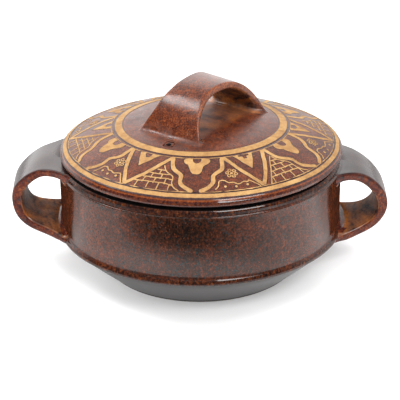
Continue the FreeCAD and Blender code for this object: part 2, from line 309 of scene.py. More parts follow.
steep = [(float(a), float(b)) for a, b in under_curve if a > 84.0][::3]
flat_r = sorted([q for q in np.arange(0, 83.6, 2.0) if not vr - 3.9 < q < vr + 3.9] + [vr + 1.0 * k for k in range(-3, 4)], reverse=True)
under_line = steep + [(float(q), float(under(q))) for q in flat_r]
ring_line = chain(run((100.8, 88.2), (96.2, 88.2), 1.0), arc((96.2, 87.2), 1.0, 90, 180, 4), run((95.2, 87.2), (94.55, 81.6), 1.0),
                  arc((92.75, 81.4), 1.8, 0, -180, 10), run((90.95, 81.4), (89.9, 87.6), 1.0))
lid_prof = chain(top_line, edge_line, LID_EDGE, ring_line, under_line)
if lid_prof[-1][0] > 1e-6:
    lid_prof.append((0.0, float(under(0.0))))
lid_prof = [p for i, p in enumerate(lid_prof) if i in (0, len(lid_prof) - 1) or p[0] > 0.3]


def vent_phase(seg):
    """Turns the rings so that the middle of a span of quads lies at the vent."""
    a = math.atan2(VENT[1], VENT[0]) / (2 * math.pi) * seg
    return a - math.floor(a)


PH = vent_phase(SEG)


def dished(R, Z, T):
    free = np.clip((R - 5) / 20, 0, 1) * np.clip((92 - R) / 10, 0, 1)
    return R, Z + free * (0.05 * np.sin(R * 0.9 + 0.5 * np.cos(T)) + 0.04 * np.sin(R * 0.37 + 1.0))


V, F = turn(lid_prof, SEG, PH, None)
prof = np.array(lid_prof)
jc = int(round((math.atan2(VENT[1], VENT[0]) % (2 * math.pi)) / (2 * math.pi) * SEG - PH)) % SEG


def ring_index(target, lower):
    ids = [i for i in range(1, len(prof) - 1) if abs(prof[i, 0] - target) < 0.03 and (prof[i, 1] < 109 if lower else prof[i, 1] > 110)]
    return ids[0] - 1


V = list(map(tuple, V))
HALF_J = 3
drop, loops = set(), []
for lower in (False, True):
    ids = [ring_index(vr + k, lower) for k in range(-3, 4)]
    lo_i, hi_i = min(ids), max(ids)
    for i in range(lo_i, hi_i):
        for j in range(-HALF_J, HALF_J):
            drop.add((i, (jc + j) % SEG))
    around = ([(lo_i, jc + j) for j in range(-HALF_J, HALF_J)] + [(i, jc + HALF_J) for i in range(lo_i, hi_i)]
              + [(hi_i, jc + j) for j in range(HALF_J, -HALF_J, -1)] + [(i, jc - HALF_J) for i in range(hi_i, lo_i, -1)])
    border = [i * SEG + j % SEG for i, j in around]
    rings = []
    for rad, dz in ((VENT_R + 0.7, 0.0), (VENT_R + 0.25, -0.05), (VENT_R + 0.02, -0.22), (VENT_R, -0.7)):
        loop = []
        for b in border:
            d = np.array(V[b][:2]) - VENT
            d /= np.linalg.norm(d)
            p = VENT + d * rad
            rr = float(np.hypot(*p))
            z = (under(rr) - dz) if lower else (dome(rr) + dz)
            loop.append(len(V))
            V.append((p[0], p[1], float(z)))
        rings.append(loop)
    loops.append((border, rings))
quads = {}
kept = []
n_ring = len(prof) - 2
for f in F:
    if len(f) == 4:
        i, j = f[0] // SEG, f[0] % SEG
        if (i, j) in drop:
            continue
    kept.append(f)
F = kept


def bridge(a, b):
    n = len(a)
    return [(a[k], a[(k + 1) % n], b[(k + 1) % n], b[k]) for k in range(n)]


(b0, r0), (b1, r1) = loops
new = []
for a, b in zip([b0] + r0[:-1], r0):
    new += bridge(a, b)
low = []
for a, b in zip([b1] + r1[:-1], r1):
    low += bridge(a, b)
# the two borders run round in opposite senses in plan, so match them by direction
top_last, low_last = r0[-1], r1[-1]
ang = lambda k: math.atan2(V[k][1] - VENT[1], V[k][0] - VENT[0])
order = [min(low_last, key=lambda m: abs(math.remainder(ang(m) - ang(k), 2 * math.pi))) for k in top_last]
new += bridge(top_last, order)
F = F + new + low
# leave out the vertices inside the two openings
V = np.array(V)
used = np.zeros(len(V), bool)
for f in F:
    used[list(f)] = True
remap = np.cumsum(used) - 1
V = V[used]
F = [tuple(int(remap[k]) for k in f) for f in F]
r_, z_ = np.hypot(V[:, 0], V[:, 1]), V[:, 2]
top_ = z_ > np.interp(r_, [0, 88, 100, 105], [112, 100, 94, 91.0])
vent_d = np.hypot(V[:, 0] - VENT[0], V[:, 1] - VENT[1])
smear_d = np.hypot((V[:, 0] - VENT[0] + 3.2) / 2.0, V[:, 1] - VENT[1] - 0.4)
lid_edge = np.clip(np.where(top_, 0.30 * bell(r_, 103.7, 0.5), 0.15 * bell(r_, 104.6, 0.8))
                   + np.where(z_ > 109, 0.8 * bell(smear_d, 0, 2.2), 0.0), 0, 1)
lid_bare = np.clip(np.where((z_ < 88.6) & (r_ > 96.5) & (r_ < 100.6), 1.0, 0.0) + np.where(z_ < 80.2, 1.0, 0.0), 0, 1)
# painted shade: near black on the underside over the gallery and in the vent; a painted dark reflection as a line on
# the rounded edge
lid_painted_dark = np.where((r_ > 96.4) & ~top_ & (z_ > 87.0), np.clip((90.6 - z_) / 0.7, 0, 1), 0.0) + 0.45 * np.where(top_, bell(r_, 104.75, 0.25), 0.0)
lid_painted_dark = np.maximum(lid_painted_dark, np.where(vent_d < VENT_R + 0.4, 1.0, 0.0))
lid_band = top_ * np.clip((r_ - 100.4) / 0.7, 0, 1)
# the field below the strap: painted shade and a painted reflection of the strap's inner face in warm smeared tones, and
# a rougher glaze
ca, sa = math.cos(math.radians(52.0)), math.sin(math.radians(52.0))
lid_along, lid_across = V[:, 0] * ca + V[:, 1] * sa, -V[:, 0] * sa + V[:, 1] * ca
lid_dull_and_shade = top_ * np.clip((23.0 - np.abs(lid_across + 3.2)) / 9.0, 0, 1) * np.clip((47.0 - np.abs(lid_along)) / 9.0, 0, 1)
mid_r = np.array([r_[list(f)].mean() for f in F])
mid_z = np.array([z_[list(f)].mean() for f in F])
# faces of the lid's underside over the gallery take the near-black painted-shade material
lid_data = dict(verts=V, faces=F, index=((mid_r > 100.7) & (mid_r < 104.2) & (mid_z < 90.3) & (mid_z > 88.1)).astype(int), attrs={"edge": lid_edge, "bare": lid_bare, "cone": np.zeros(len(V)), "black": lid_painted_dark, "band": lid_band, "dull_and_shade": lid_dull_and_shade})

# ------------------------------------------------------------------ straps
LEFT_LINE = [(92.0, 85.0), (99.1, 86.7), (104.0, 87.2), (109.0, 87.0), (118.5, 85.5), (125.8, 81.9), (133.6, 75.4), (139.2, 67.1), (140.3, 58.0),
             (138.6, 49.2), (133.8, 41.7), (124.6, 36.2), (112.2, 32.3), (103.4, 28.6), (94.0, 22.5)]
LEFT_HALF = [(146.0, 18.9), (139.6, 19.3), (128.0, 22.1), (118.0, 25.3), (110.0, 29.2), (103.0, 34.6), (98.0, 38.8), (92.0, 43.4),
             (85.0, 48.0)]
RIGHT_LINE = [(92.0, 79.3), (98.6, 80.8), (108.0, 81.3), (117.0, 79.4), (126.6, 74.0), (134.0, 66.6), (139.0, 57.6), (140.1, 50.4),
              (137.6, 42.2), (131.8, 35.4), (124.0, 30.8), (114.8, 27.8), (104.8, 25.4), (94.0, 22.0)]
RIGHT_HALF = [(146.0, 17.9), (139.6, 18.3), (130.0, 20.3), (120.0, 23.3), (113.0, 26.5), (105.0, 30.7), (98.6, 34.6), (92.0, 38.6),
              (85.0, 42.4)]
# lines round the axis to which the lower feet are wrapped
LEFT_WRAP = [(80.0, 11.2), (88.0, 18.6), (94.0, 23.6), (98.6, 26.8), (103.4, 29.6), (107.0, 30.7), (112.0, 30.9), (116.5, 28.4), (118.5, 22.0)]
RIGHT_WRAP = [(80.0, 14.0), (90.0, 20.6), (94.0, 22.6), (100.0, 25.2), (104.8, 26.8), (109.0, 27.0), (114.0, 25.4), (118.0, 21.5), (119.5, 16.0)]
LID_LINE = [(-46.6, 100.0), (-42.9, 107.8), (-38.8, 118.1), (-33.9, 126.5), (-27.4, 134.2), (-18.8, 140.5), (-7.6, 143.7),
            (4.5, 143.9), (16.5, 141.6), (27.5, 135.8), (35.7, 128.0), (41.3, 118.9), (45.6, 109.0), (49.0, 101.0)]
LID_HALF = [(-54.0, 37.0), (-47.0, 32.0), (-41.6, 28.0), (-34.0, 21.4), (-24.0, 17.6), (-8.0, 15.8), (6.0, 15.7), (20.0, 16.3),
            (31.0, 18.4), (39.0, 21.6), (45.4, 26.2), (50.5, 30.1), (56.0, 34.0)]


def section(across, corner, thick):
    """Round-cornered band section: list of (side -1..1 of the flat width, inset from the side in mm, depth 0..thick)."""
    pts = []
    n = across
    m = 5
    for i in range(n + 1):                      # outer face, left to right
        pts.append((-1 + 2 * i / n, corner, 0.0, 0))
    for i in range(1, m + 1):                   # right outer corner
        a = math.pi / 2 * i / m
        pts.append((1.0, corner - corner * math.sin(a), corner - corner * math.cos(a), 1))
    flat = thick - 2 * corner
    for i in range(1, 3):
        pts.append((1.0, 0.0, corner + flat * i / 3, 1))
    for i in range(0, m + 1):
        a = math.pi / 2 * i / m
        pts.append((1.0, corner - corner * math.cos(a), thick - corner + corner * math.sin(a), 1))
    for i in range(1, n + 1):                   # inner face, right to left
        pts.append((1 - 2 * i / n, corner, thick, 0))
    for i in range(1, m + 1):
        a = math.pi / 2 * i / m
        pts.append((-1.0, corner - corner * math.sin(a), thick - corner + corner * math.cos(a), 1))
    for i in range(1, 3):
        pts.append((-1.0, 0.0, thick - corner - flat * i / 3, 1))
    for i in range(0, m):
        a = math.pi / 2 * i / m
        pts.append((-1.0, corner - corner * math.cos(a), corner - corner * math.sin(a), 1))
    return pts


def strap(line, half, thick, corner, off, turn_deg, base, fillets, across, stations, seed, crown=0.35, sink=(1.6, 1.6), top_limit=None, black_from=None,
          wrap=None, belly=0.2, body=None, tilt=None, spread=(3.0, 3.0), uneven=0.10):
    """A pulled strap between two feet that are smeared onto the body whose outline is base."""
    q, d = spline(line, 0.4)
    hx = np.array(sorted(half))
    hq = spline(hx, 0.5)[0]
    nrm = np.stack([d[:, 1], -d[:, 0]], 1)      # towards the inside of the bend
    knots = np.array(line, float)
    along = np.concatenate([[0], np.cumsum(np.hypot(*np.diff(knots, axis=0).T))])
    # the clay is thicker where the bend was pressed
    swell = np.interp(np.linspace(0, along[-1], len(q)), along, body or [thick] * len(line)) / thick
    sec = section(across, corner, thick)
    fibres = []
    for a, inset, depth, _ in sec:
        c = swell * depth - (crown * (1 - a * a) if depth == 0.0 else 0.0) + (belly * (1 - a * a) if depth == thick else 0.0)
        x = q[:, 0] + nrm[:, 0] * c
        z = q[:, 1] + nrm[:, 1] * c
        h = np.interp(x, hq[:, 0], hq[:, 1])
        y = off + a * (h - inset) if abs(a) < 1 else off + a * (h - inset)
        y = np.broadcast_to(y, x.shape)
        if wrap is not None:
            # the underside keeps to the line round the axis, with a soft turn from one into the other
            w_line = spline(wrap, 0.5)[0]
            rr = np.hypot(x, y)
            floor_ = np.interp(rr, w_line[:, 0], w_line[:, 1], left=-50.0, right=-50.0) + 0.30 * depth
            over = np.where(x < 128.0, z - floor_, 50.0)
            z = np.where(over > 3.0, z, floor_ + 0.5 * (over + np.sqrt(over * over + 1.2)))
        if tilt is not None:
            z = z + np.interp(x, *np.array(tilt, float).T) * (a + 1) / 2
        p = np.stack([x, y, z], 1)
        s = side(np.stack([np.hypot(x, y), z], 1), base)
        mid = len(x) // 2
        i0 = mid
        while i0 > 0 and s[i0] > -sink[0]:
            i0 -= 1
        i1 = mid
        while i1 < len(x) - 1 and s[i1] > -sink[1]:
            i1 += 1
        # exact crossing by interpolation
        f0 = i0 + (-sink[0] - s[i0]) / (s[i0 + 1] - s[i0]) if s[i0] <= -sink[0] else 0.0
        f1 = i1 - 1 + (-sink[1] - s[i1 - 1]) / (s[i1] - s[i1 - 1]) if s[i1] <= -sink[1] else float(len(x) - 1)
        u = np.linspace(0, 1, stations)
        u = u - 0.125 * np.sin(2 * math.pi * u) * 0.9
        w = f0 + (f1 - f0) * u
        fibres.append(np.stack([np.interp(w, np.arange(len(x)), p[:, k]) for k in range(3)], 1))
    P = np.array(fibres)                        # section, station, xyz
    P = P.transpose(1, 0, 2)                    # station, section, xyz
    S, M = P.shape[:2]

    def normals(P):
        du = np.gradient(P, axis=0)
        dv = np.roll(P, -1, 1) - np.roll(P, 1, 1)
        n = np.cross(du, dv)
        return n / np.maximum(np.linalg.norm(n, axis=2, keepdims=True), 1e-9)

    N = normals(P)
    centre = P.mean(1, keepdims=True)
    if ((P - centre) * N).sum() < 0:
        N = -N
    rz_ = np.stack([np.hypot(P[..., 0], P[..., 1]), P[..., 2]], -1).reshape(-1, 2)
    dist = side(rz_, base).reshape(S, M)
    e = 0.05
    gr = (side(rz_ + [e, 0], base) - side(rz_ - [e, 0], base)).reshape(S, M) / (2 * e)
    gz = (side(rz_ + [0, e], base) - side(rz_ - [0, e], base)).reshape(S, M) / (2 * e)
    rr = np.maximum(np.hypot(P[..., 0], P[..., 1]), 1e-6)
    B = np.stack([gr * P[..., 0] / rr, gr * P[..., 1] / rr, gz], -1)
    B /= np.maximum(np.linalg.norm(B, axis=2, keepdims=True), 1e-9)
    T = N - (N * B).sum(-1, keepdims=True) * B
    steep_ = np.linalg.norm(T, axis=2)
    T /= np.maximum(steep_[..., None], 1e-9)
    steep_ = steep_ * steep_ * (3 - 2 * steep_)
    depth = np.array([s[2] / thick for s in sec])[None, :]
    first = (np.arange(S) < S / 2)[:, None]
    fo = np.where(first, fillets[0], fillets[2])
    fi = np.where(first, fillets[1], fillets[3])
    flat = np.array([1.0 - s[3] for s in sec])[None, :]
    f = (fo + (fi - fo) * depth) * flat + np.where(first, spread[0], spread[1]) * (1 - flat)
    rough = waves3((P * 1.0).reshape(-1, 3), 11.0, seed).reshape(S, M)
    f = f * (1 + uneven * rough)
    t = np.clip(1 - dist / f, 0, 1)
    g = f * (1 - np.sqrt(np.maximum(0, 1 - t * t))) * steep_
    shift = T * g[..., None]
    for _ in range(6):
        shift = 0.25 * np.roll(shift, 1, 1) + 0.5 * shift + 0.25 * np.roll(shift, -1, 1)
    P = P + shift
    # the smeared clay keeps to the body's surface
    hold = np.clip(1.6 * t, 0, 1) * np.clip(np.linalg.norm(shift, axis=2) / 0.2, 0, 1)
    for _ in range(2):
        rz_ = np.stack([np.hypot(P[..., 0], P[..., 1]), P[..., 2]], -1).reshape(-1, 2)
        now = side(rz_, base).reshape(S, M)
        gr = (side(rz_ + [e, 0], base) - side(rz_ - [e, 0], base)).reshape(S, M) / (2 * e)
        gz = (side(rz_ + [0, e], base) - side(rz_ - [0, e], base)).reshape(S, M) / (2 * e)
        rr = np.maximum(np.hypot(P[..., 0], P[..., 1]), 1e-6)
        pull = np.clip(now - dist, -3.0, 3.0) * hold
        P = P - np.stack([gr * P[..., 0] / rr, gr * P[..., 1] / rr, gz], -1) * pull[..., None]
    wob = waves3(P.reshape(-1, 3), 26.0, seed + 1).reshape(S, M) * 0.22
    P = P + N * (wob * np.clip(dist / 6, 0, 1))[..., None]
    if top_limit is not None:
        P[..., 2] = np.where(P[..., 2] > top_limit, top_limit + (P[..., 2] - top_limit) * 0.0, P[..., 2])
        # the hidden end stays inside the thickness of the wall
        rr = np.maximum(np.hypot(P[..., 0], P[..., 1]), 1e-6)
        P[..., :2] *= np.where(P[..., 2] > 45.0, np.maximum(rr, 99.4) / rr, 1.0)[..., None]
    verts = P.reshape(-1, 3)
    c0, c1 = verts[:M].mean(0), verts[-M:].mean(0)
    verts = np.vstack([verts, c0, c1])
    faces = []
    for i in range(S - 1):
        for j in range(M):
            k = (j + 1) % M
            faces.append((i * M + j, i * M + k, (i + 1) * M + k, (i + 1) * M + j))
    a, b = len(verts) - 2, len(verts) - 1
    faces += [(a, (j + 1) % M, j) for j in range(M)]
    last = (S - 1) * M
    faces += [(b, last + j, last + (j + 1) % M) for j in range(M)]
    faces = outward(verts - verts.mean(0), faces)
    kind = np.array([s[3] for s in sec], float)
    kind = (np.roll(kind, 1) + kind * 2 + np.roll(kind, -1)) / 4
    edge = np.concatenate([(kind[None] * np.clip((dist - 1.0) / 6.0, 0, 1)).ravel(), [0, 0]])
    near = np.concatenate([np.clip(1 - dist / 14.0, 0, 1).ravel(), [1, 1]])
    face = np.concatenate([np.repeat(np.array([s[2] / thick for s in sec])[None], S, 0).ravel(), [0, 0]])
    black = np.clip((verts[:, 2] - black_from) / 7.0, 0, 1) * (1 - np.clip(face * 3.0, 0, 1)) if black_from else np.zeros(len(verts))
    a = math.radians(turn_deg)
    rot = np.array([[math.cos(a), -math.sin(a), 0], [math.sin(a), math.cos(a), 0], [0, 0, 1]])
    verts = verts @ rot.T
    low = np.array([face[list(f)].min() for f in faces])
    high = np.array([face[list(f)].max() for f in faces])
    narrow = np.concatenate([np.repeat(np.array([s[3] for s in sec])[None], S, 0).ravel(), [0, 0]])
    narrow = np.array([narrow[list(f)].max() for f in faces]) > 0.5
    root = np.array([near[list(f)].max() for f in faces]) > 0.80
    index = np.where(low > 0.985, np.where(root, 2, 1), np.where(narrow & (high < 0.90), 2, 0))
    return dict(verts=verts, faces=faces, index=index,
                attrs={"edge": edge, "inside": face, "near": near, "bare": np.zeros(len(verts)), "cone": np.zeros(len(verts)), "black": black})


# outline of the pot that the side straps are pressed to: the rim's recess filled with clay, its edge softened
rim_soft = spline([(105.0, 74.0), (105.0, 78.0), (104.75, 81.0), (104.4, 83.2), (104.2, 85.0), (103.9, 86.2), (103.2, 87.2), (102.2, 87.9), (101.0, 88.2)], 0.6)[0]
strap_base = chain(foot_line, spline(cone_out, 0.9)[0], spline(bead_out, 0.35)[0], spline(wall_out[:-1], 1.0)[0], rim_soft) + [(0.0, 88.2)]
# outline of the lid without its hollow
lid_full = chain([(0.0, 115.2)], [(float(a), float(b)) for a, b in dome_curve[: CROWN_TOP + 1]][4::4], [(105.0, 91.7), (104.5, 90.2), (100.8, 88.2), (0.0, 88.2)])
LEFT_BODY = [5.8, 5.8, 5.8, 5.8, 5.9, 6.3, 7.0, 7.6, 7.8, 7.6, 7.2, 6.8, 6.6, 6.6, 6.6]
RIGHT_BODY = [6.0, 6.0, 6.0, 6.2, 6.7, 7.3, 7.8, 7.9, 7.6, 7.2, 6.9, 6.8, 6.8, 6.8]
LID_TILT = [(-60.0, 0.0), (-28.0, 0.0), (-18.0, -1.2), (-6.0, -0.2), (6.0, 1.2), (15.0, 2.0), (24.0, 1.8), (33.0, 0.6), (42.0, 0.0)]
left_data = strap(LEFT_LINE, LEFT_HALF, 5.8, 2.1, -1.7, 182.2, strap_base, (0.8, 3.6, 3.0, 6.0), 26, 150, 5, sink=(4.2, 1.6), spread=(4.5, 3.0), top_limit=87.9, black_from=66.0,
                  wrap=LEFT_WRAP, belly=0.9, body=LEFT_BODY)
right_data = strap(RIGHT_LINE, RIGHT_HALF, 5.8, 2.1, 1.7, -2.2, strap_base, (1.6, 3.6, 3.0, 6.0), 26, 150, 9, sink=(4.2, 1.6), spread=(4.5, 3.0), top_limit=87.9, black_from=60.0,
                   wrap=RIGHT_WRAP, belly=0.9, body=RIGHT_BODY)
lidstrap_data = strap(LID_LINE, LID_HALF, 5.4, 1.7, -3.2, 52.0, lid_full, (3.0, 3.4, 3.0, 6.5), 26, 150, 21, belly=0.6, tilt=LID_TILT, uneven=0.40)

# ------------------------------------------------------------------ ornament of the lid
# Everything is given as (angle from the front in degrees, towards +X; radius in mm).


def xy(p):
    a = np.radians(np.array([q[0] for q in p], float))
    rr = np.array([q[1] for q in p], float)
    return np.stack([rr * np.sin(a), -rr * np.cos(a)], 1)


strokes = []      # (points, half width start, half width end, dark border)
solids = []       # polygons
holes = []        # polygons taken out of the solids
dots = []         # (angle, radius, dot radius)
rings = [(58.3, 63.7), (99.65, 102.35)]
hair = [(66.35, 0.22), (98.3, 0.20)]          # thin turned lines


def stroke(p, w, w2=None, border=0.65, smooth=True):
    q = xy(p)
    if smooth and len(q) > 2:
        q = spline(q, 0.8)[0]
    strokes.append((q, w / 2, (w2 or w) / 2, border))


def vee(a0, a1, v, b1, b0, r_top=67.0, r_tip=96.6, bend=0.4):
    """Two arms from (a0..a1, r_top) and (b1..b0, r_top) to a tip at angle v."""
    stroke([(a0, r_top + 0.6), ((a0 + v) / 2 - bend, (r_top + r_tip) / 2), (v - 0.4, r_tip)], 2.9, 2.7)
    stroke([(b0, r_top + 0.6), ((b0 + v) / 2 + bend, (r_top + r_tip) / 2), (v + 0.4, r_tip)], 2.9, 2.7)


def tri(a, v, b, notch, r0=66.9, r1=80.5):
    solids.append(xy([(a, r0), ((a + v) / 2 - 0.2, (r0 + r1) / 2 - 0.6), (v, r1), ((b + v) / 2 + 0.2, (r0 + r1) / 2 - 0.6), (b, r0)]))
    holes.append(xy(notch))


def steps_notch(c, w=3.5):
    return [(c - w, 65.5), (c - w, 68.3), (c - w * 0.35, 68.6), (c - w * 0.3, 70.9), (c + w * 0.35, 70.9), (c + w * 0.4, 68.5), (c + w, 68.2), (c + w, 65.5)]


def round_notch(c, w=2.6, depth=70.8):
    return [(c - w, 65.5), (c - w, 68.4), (c - w * 0.75, depth - 0.8), (c - w * 0.3, depth), (c + w * 0.3, depth), (c + w * 0.75, depth - 0.9), (c + w, 68.2), (c + w, 65.5)]


def blob(c, s=1.0, seed=0):
    g = np.random.default_rng(seed)
    j = lambda k: g.uniform(-k, k)
    p = [(-6.7 * s, 67.2), (-7.4 * s, 69.4 + j(.3)), (-6.2 * s, 72.2 + j(.4)), (-4.6 * s, 73.6), (-3.9 * s, 76.2 + j(.4)), (-2.9 * s, 79.4), (-1.6 * s, 82.0 + j(.3)),
         (0.0, 82.9 + j(.4)), (1.5 * s, 81.8 + j(.3)), (2.5 * s, 78.6), (3.2 * s, 75.7), (4.6 * s, 73.4 + j(.4)), (6.2 * s, 71.8), (7.2 * s, 69.2 + j(.3)), (6.6 * s, 67.2)]
    q = xy([(c + a, r) for a, r in p])
    q = np.vstack([spline(q, 0.7)[0]])
    solids.append(q)
    h = xy([(c - 2.5, 65.0), (c - 2.6, 68.6), (c - 1.9, 70.8), (c - 0.2, 71.8), (c + 1.7, 71.0), (c + 2.5, 68.8), (c + 2.4, 65.0)])
    holes.append(np.vstack([spline(h, 0.6)[0]]))


def arch(left, right):
    stroke(left, 3.0, 2.8)
    stroke(right, 3.0, 2.8)


def generic_arch(c, g):
    j = lambda k: g.uniform(-k, k)
    L = [(-13.4, 67.4), (-12.9, 72.5), (-11.2, 78.4), (-6.9 + j(.5), 84.4 + j(.6)), (-6.7 + j(.3), 89.5), (-5.2, 93.6 + j(.5)), (-2.2, 97.3)]
    R = [(13.6, 67.4), (13.2, 73.0), (11.8, 78.6), (7.6 + j(.5), 84.2 + j(.6)), (7.3 + j(.3), 89.6), (5.4, 94.0 + j(.5)), (2.4, 97.3)]
    arch([(c + a, r) for a, r in L], [(c + a, r) for a, r in R])


def brick(lines, w=0.9):
    for p in lines:
        stroke(p, w, w * 0.9, border=0.4, smooth=len(p) > 2)


def generic_bricks(v, c, g):
    """Wall of bricks between the right arm of the V at v and the left side of the arch at c."""
    j = lambda k: g.uniform(-k, k)
    k = (c - v) / 30.5
    X = lambda a: v + (a + 33) * k
    brick([[(X(-19.5), 76.5), (X(-18), 80.3), (X(-15.2), 84.2), (X(-13.3), 86.6), (X(-12.9), 90.4), (X(-12.0), 94), (X(-9.5), 97.3)]])
    rows = [(80.5, -22.0, -18.0), (84.5, -25.0, -16.0), (88.7, -26.8, -13.3), (93.0, -29.2, -12.4)]
    for r, a, b in rows:
        brick([[(X(a), r + j(.3)), (X(b), r + j(.3))]])
    cols = [(80.5, 84.5, (-20.0,)), (84.5, 88.7, (-23, -18.5)), (88.7, 93.0, (-25.3, -20.7, -16.2)), (93.0, 97.4, (-28, -23.2, -18.5, -14.2))]
    for r0, r1, at in cols:
        for a in at:
            a += j(.35)
            brick([[(X(a), r0), (X(a + j(.3)), r1)]])


def rosette(c, r, s=1.0):
    q = xy([(c, r)])[0]
    dots.append((q, 1.0 * s, 0.45))
    u = q / np.linalg.norm(q)
    for k in range(6):
        a = math.radians(60 * k + 12)
        d = u * math.cos(a) + np.array([-u[1], u[0]]) * math.sin(a)
        m = q + d * 2.95 * s
        ring = [m + 1.05 * s * (math.cos(t) * d + math.sin(t) * np.array([-d[1], d[0]])) for t in np.linspace(0, 2 * math.pi, 13)]
        strokes.append((np.array(ring), 0.33, 0.33, 0.3))


def dot(c, r, rad=0.95):
    dots.append((xy([(c, r)])[0], rad, 0.5))


def wave(points, w=0.85):
    stroke(points, w, w, border=0.4)


def generic_rosette(c, v, g):
    """Rosette, dots and wavy line between the right side of the arch at c and the left arm of the V at v."""
    k = (v - c) / 28.5
    X = lambda a: c + (a + 2.5) * k
    rosette(X(14.2) + g.uniform(-.4, .4), 83.2 + g.uniform(-.4, .4))
    wave([(X(5.6), 96.6), (X(7.0), 93.2), (X(7.4), 90.3), (X(10.3), 90.2), (X(11.5), 91.5), (X(13.5), 91.6), (X(15.0), 93.1), (X(16.7), 93.0), (X(18.2), 91.8), (X(19.5), 92.7), (X(20.4), 91.6)])
    wave([(X(20.4), 91.6), (X(24.0), 97.3)])
    for a, r in ((9.7, 94.5), (14.2, 95.4), (19.2, 94.9)):
        dot(X(a) + g.uniform(-.3, .3), r + g.uniform(-.2, .2))


# the motifs as they stand on the front of the lid
vee(-45.0, 0, -33.0, 0, -17.6)
tri(-38.6, -33.0, -26.0, [(-35.2, 65.5), (-34.9, 68.4), (-34.0, 69.2), (-33.2, 71.2), (-31.4, 70.2), (-30.6, 68.4), (-30.2, 65.5)], r1=80.2)
arch([(-17.0, 67.6), (-15.6, 73.0), (-13.4, 79.4), (-9.6, 84.8), (-9.5, 89.6), (-8.0, 93.6), (-4.6, 97.2)],
     [(12.2, 67.6), (11.2, 73.0), (9.9, 79.0), (5.3, 84.6), (4.9, 89.6), (3.0, 94.0), (-0.4, 97.2)])
blob(-2.5, 1.0, 3)
brick([[(-19.5, 76.0), (-18, 80), (-15, 84), (-13.3, 86.2), (-13, 90), (-12, 94), (-9.5, 97.4)],
       [(-22, 80.5), (-18, 80.6)], [(-25, 84.4), (-15.4, 84.6)], [(-27.0, 88.5), (-13.4, 88.6)], [(-29.6, 93), (-12.6, 93.1)],
       [(-20, 80.5), (-20.3, 84.5)], [(-23, 84.5), (-23.2, 88.5)], [(-18.5, 84.5), (-18.6, 88.5)],
       [(-25.8, 88.5), (-26, 93)], [(-20.7, 88.5), (-20.9, 93)], [(-16, 88.5), (-16.1, 93)],
       [(-28, 93), (-28.3, 97.4)], [(-23, 93), (-23.2, 97.4)], [(-18.5, 93), (-18.6, 97.4)], [(-13.7, 93), (-13.9, 97.4)]])
rosette(14.2, 83.3)
wave([(5.5, 96.5), (7, 93), (7.4, 90.3), (10.5, 90.0), (11.5, 91.5), (13.5, 91.5), (15, 93.2), (16.7, 93), (18.3, 91.7), (19.5, 92.8), (20.5, 91.5)])
wave([(20.5, 91.5), (24.3, 97.4)])
dot(9.7, 94.5)
dot(14.2, 95.3)
dot(19.3, 94.8)

vee(13.2, 0, 26.0, 0, 38.6, bend=0.2)
tri(19.4, 25.5, 31.6, steps_notch(25.6), r1=81.2)
arch([(40.6, 67.6), (41.0, 70.2), (42.2, 76.6), (45.2, 81.0), (48.6, 85.3), (49.2, 90.0), (51.8, 94.6), (55.0, 97.4)],
     [(71.2, 67.2), (70.8, 73.0), (68.8, 78.8), (64.8, 84.2), (64.3, 89.2), (62.6, 94.0), (59.0, 97.5)])
blob(56.2, 1.0, 4)
brick([[(29.3, 97.6), (33, 88), (36, 81), (39.4, 75.2)], [(40, 76), (41.5, 80), (45.5, 86), (46.5, 92), (49.8, 97.4)],
       [(37.6, 79.5), (41.2, 79.6)], [(35.3, 83.5), (43.4, 83.5)], [(33.0, 88.5), (45.8, 88.5)], [(31.2, 93), (46.6, 93)],
       [(38.5, 79.5), (38.3, 83.5)], [(36.2, 83.5), (36.1, 88.5)], [(41, 83.5), (40.9, 88.5)],
       [(33.8, 88.5), (33.6, 93)], [(38.6, 88.5), (38.6, 93)], [(43.6, 88.5), (43.8, 93)],
       [(31.5, 93), (31.3, 97.4)], [(36.2, 93), (36.1, 97.4)], [(41.3, 93), (41.4, 97.4)], [(46.4, 93), (46.7, 97.4)]])
rosette(73.0, 84.0)
dot(69, 95)
dot(73, 95.5)
dot(78.5, 95.4)
wave([(63.6, 97.0), (65.6, 94.0), (66.6, 90.6), (69.5, 90.2), (71.4, 91.6), (73.2, 91.5), (75.0, 93.0), (77.0, 92.6), (79.0, 91.6)])
wave([(79.0, 91.6), (83.2, 97.2)])

vee(72.4, 0, 85.0, 0, 96.0, bend=0.1, r_tip=96.2)
tri(78.6, 84.6, 90.6, round_notch(84.6, 2.8), r1=80.6)

vee(-104.6, 0, -91.0, 0, -76.8)
tri(-97.4, -91.0, -85.2, round_notch(-91.2, 2.6), r1=80.4)
arch([(-74.8, 67.4), (-74.0, 74.0), (-71.4, 80.4), (-68.2, 85.6), (-67.6, 91.0), (-64.2, 96.9)],
     [(-46.8, 67.4), (-46.8, 72.6), (-47.4, 78.2), (-51.3, 84.0), (-51.3, 88.2), (-52.4, 92.4), (-55.6, 97.3)])
blob(-61.0, 1.0, 5)
rosette(-43.5, 82.5)
dot(-47.5, 93.6)
dot(-43.7, 94.6)
dot(-39.3, 93.9)
wave([(-51.0, 96.9), (-49.6, 93.0), (-49.0, 90.2), (-46.4, 90.0), (-45.0, 91.4), (-43.0, 91.3), (-41.6, 92.4), (-39.8, 91.6), (-38.2, 91.0)])
wave([(-38.2, 91.0), (-35.0, 97.3)])
g_ = np.random.default_rng(5)
generic_bricks(-91.0, -61.0 + 0.6, g_)

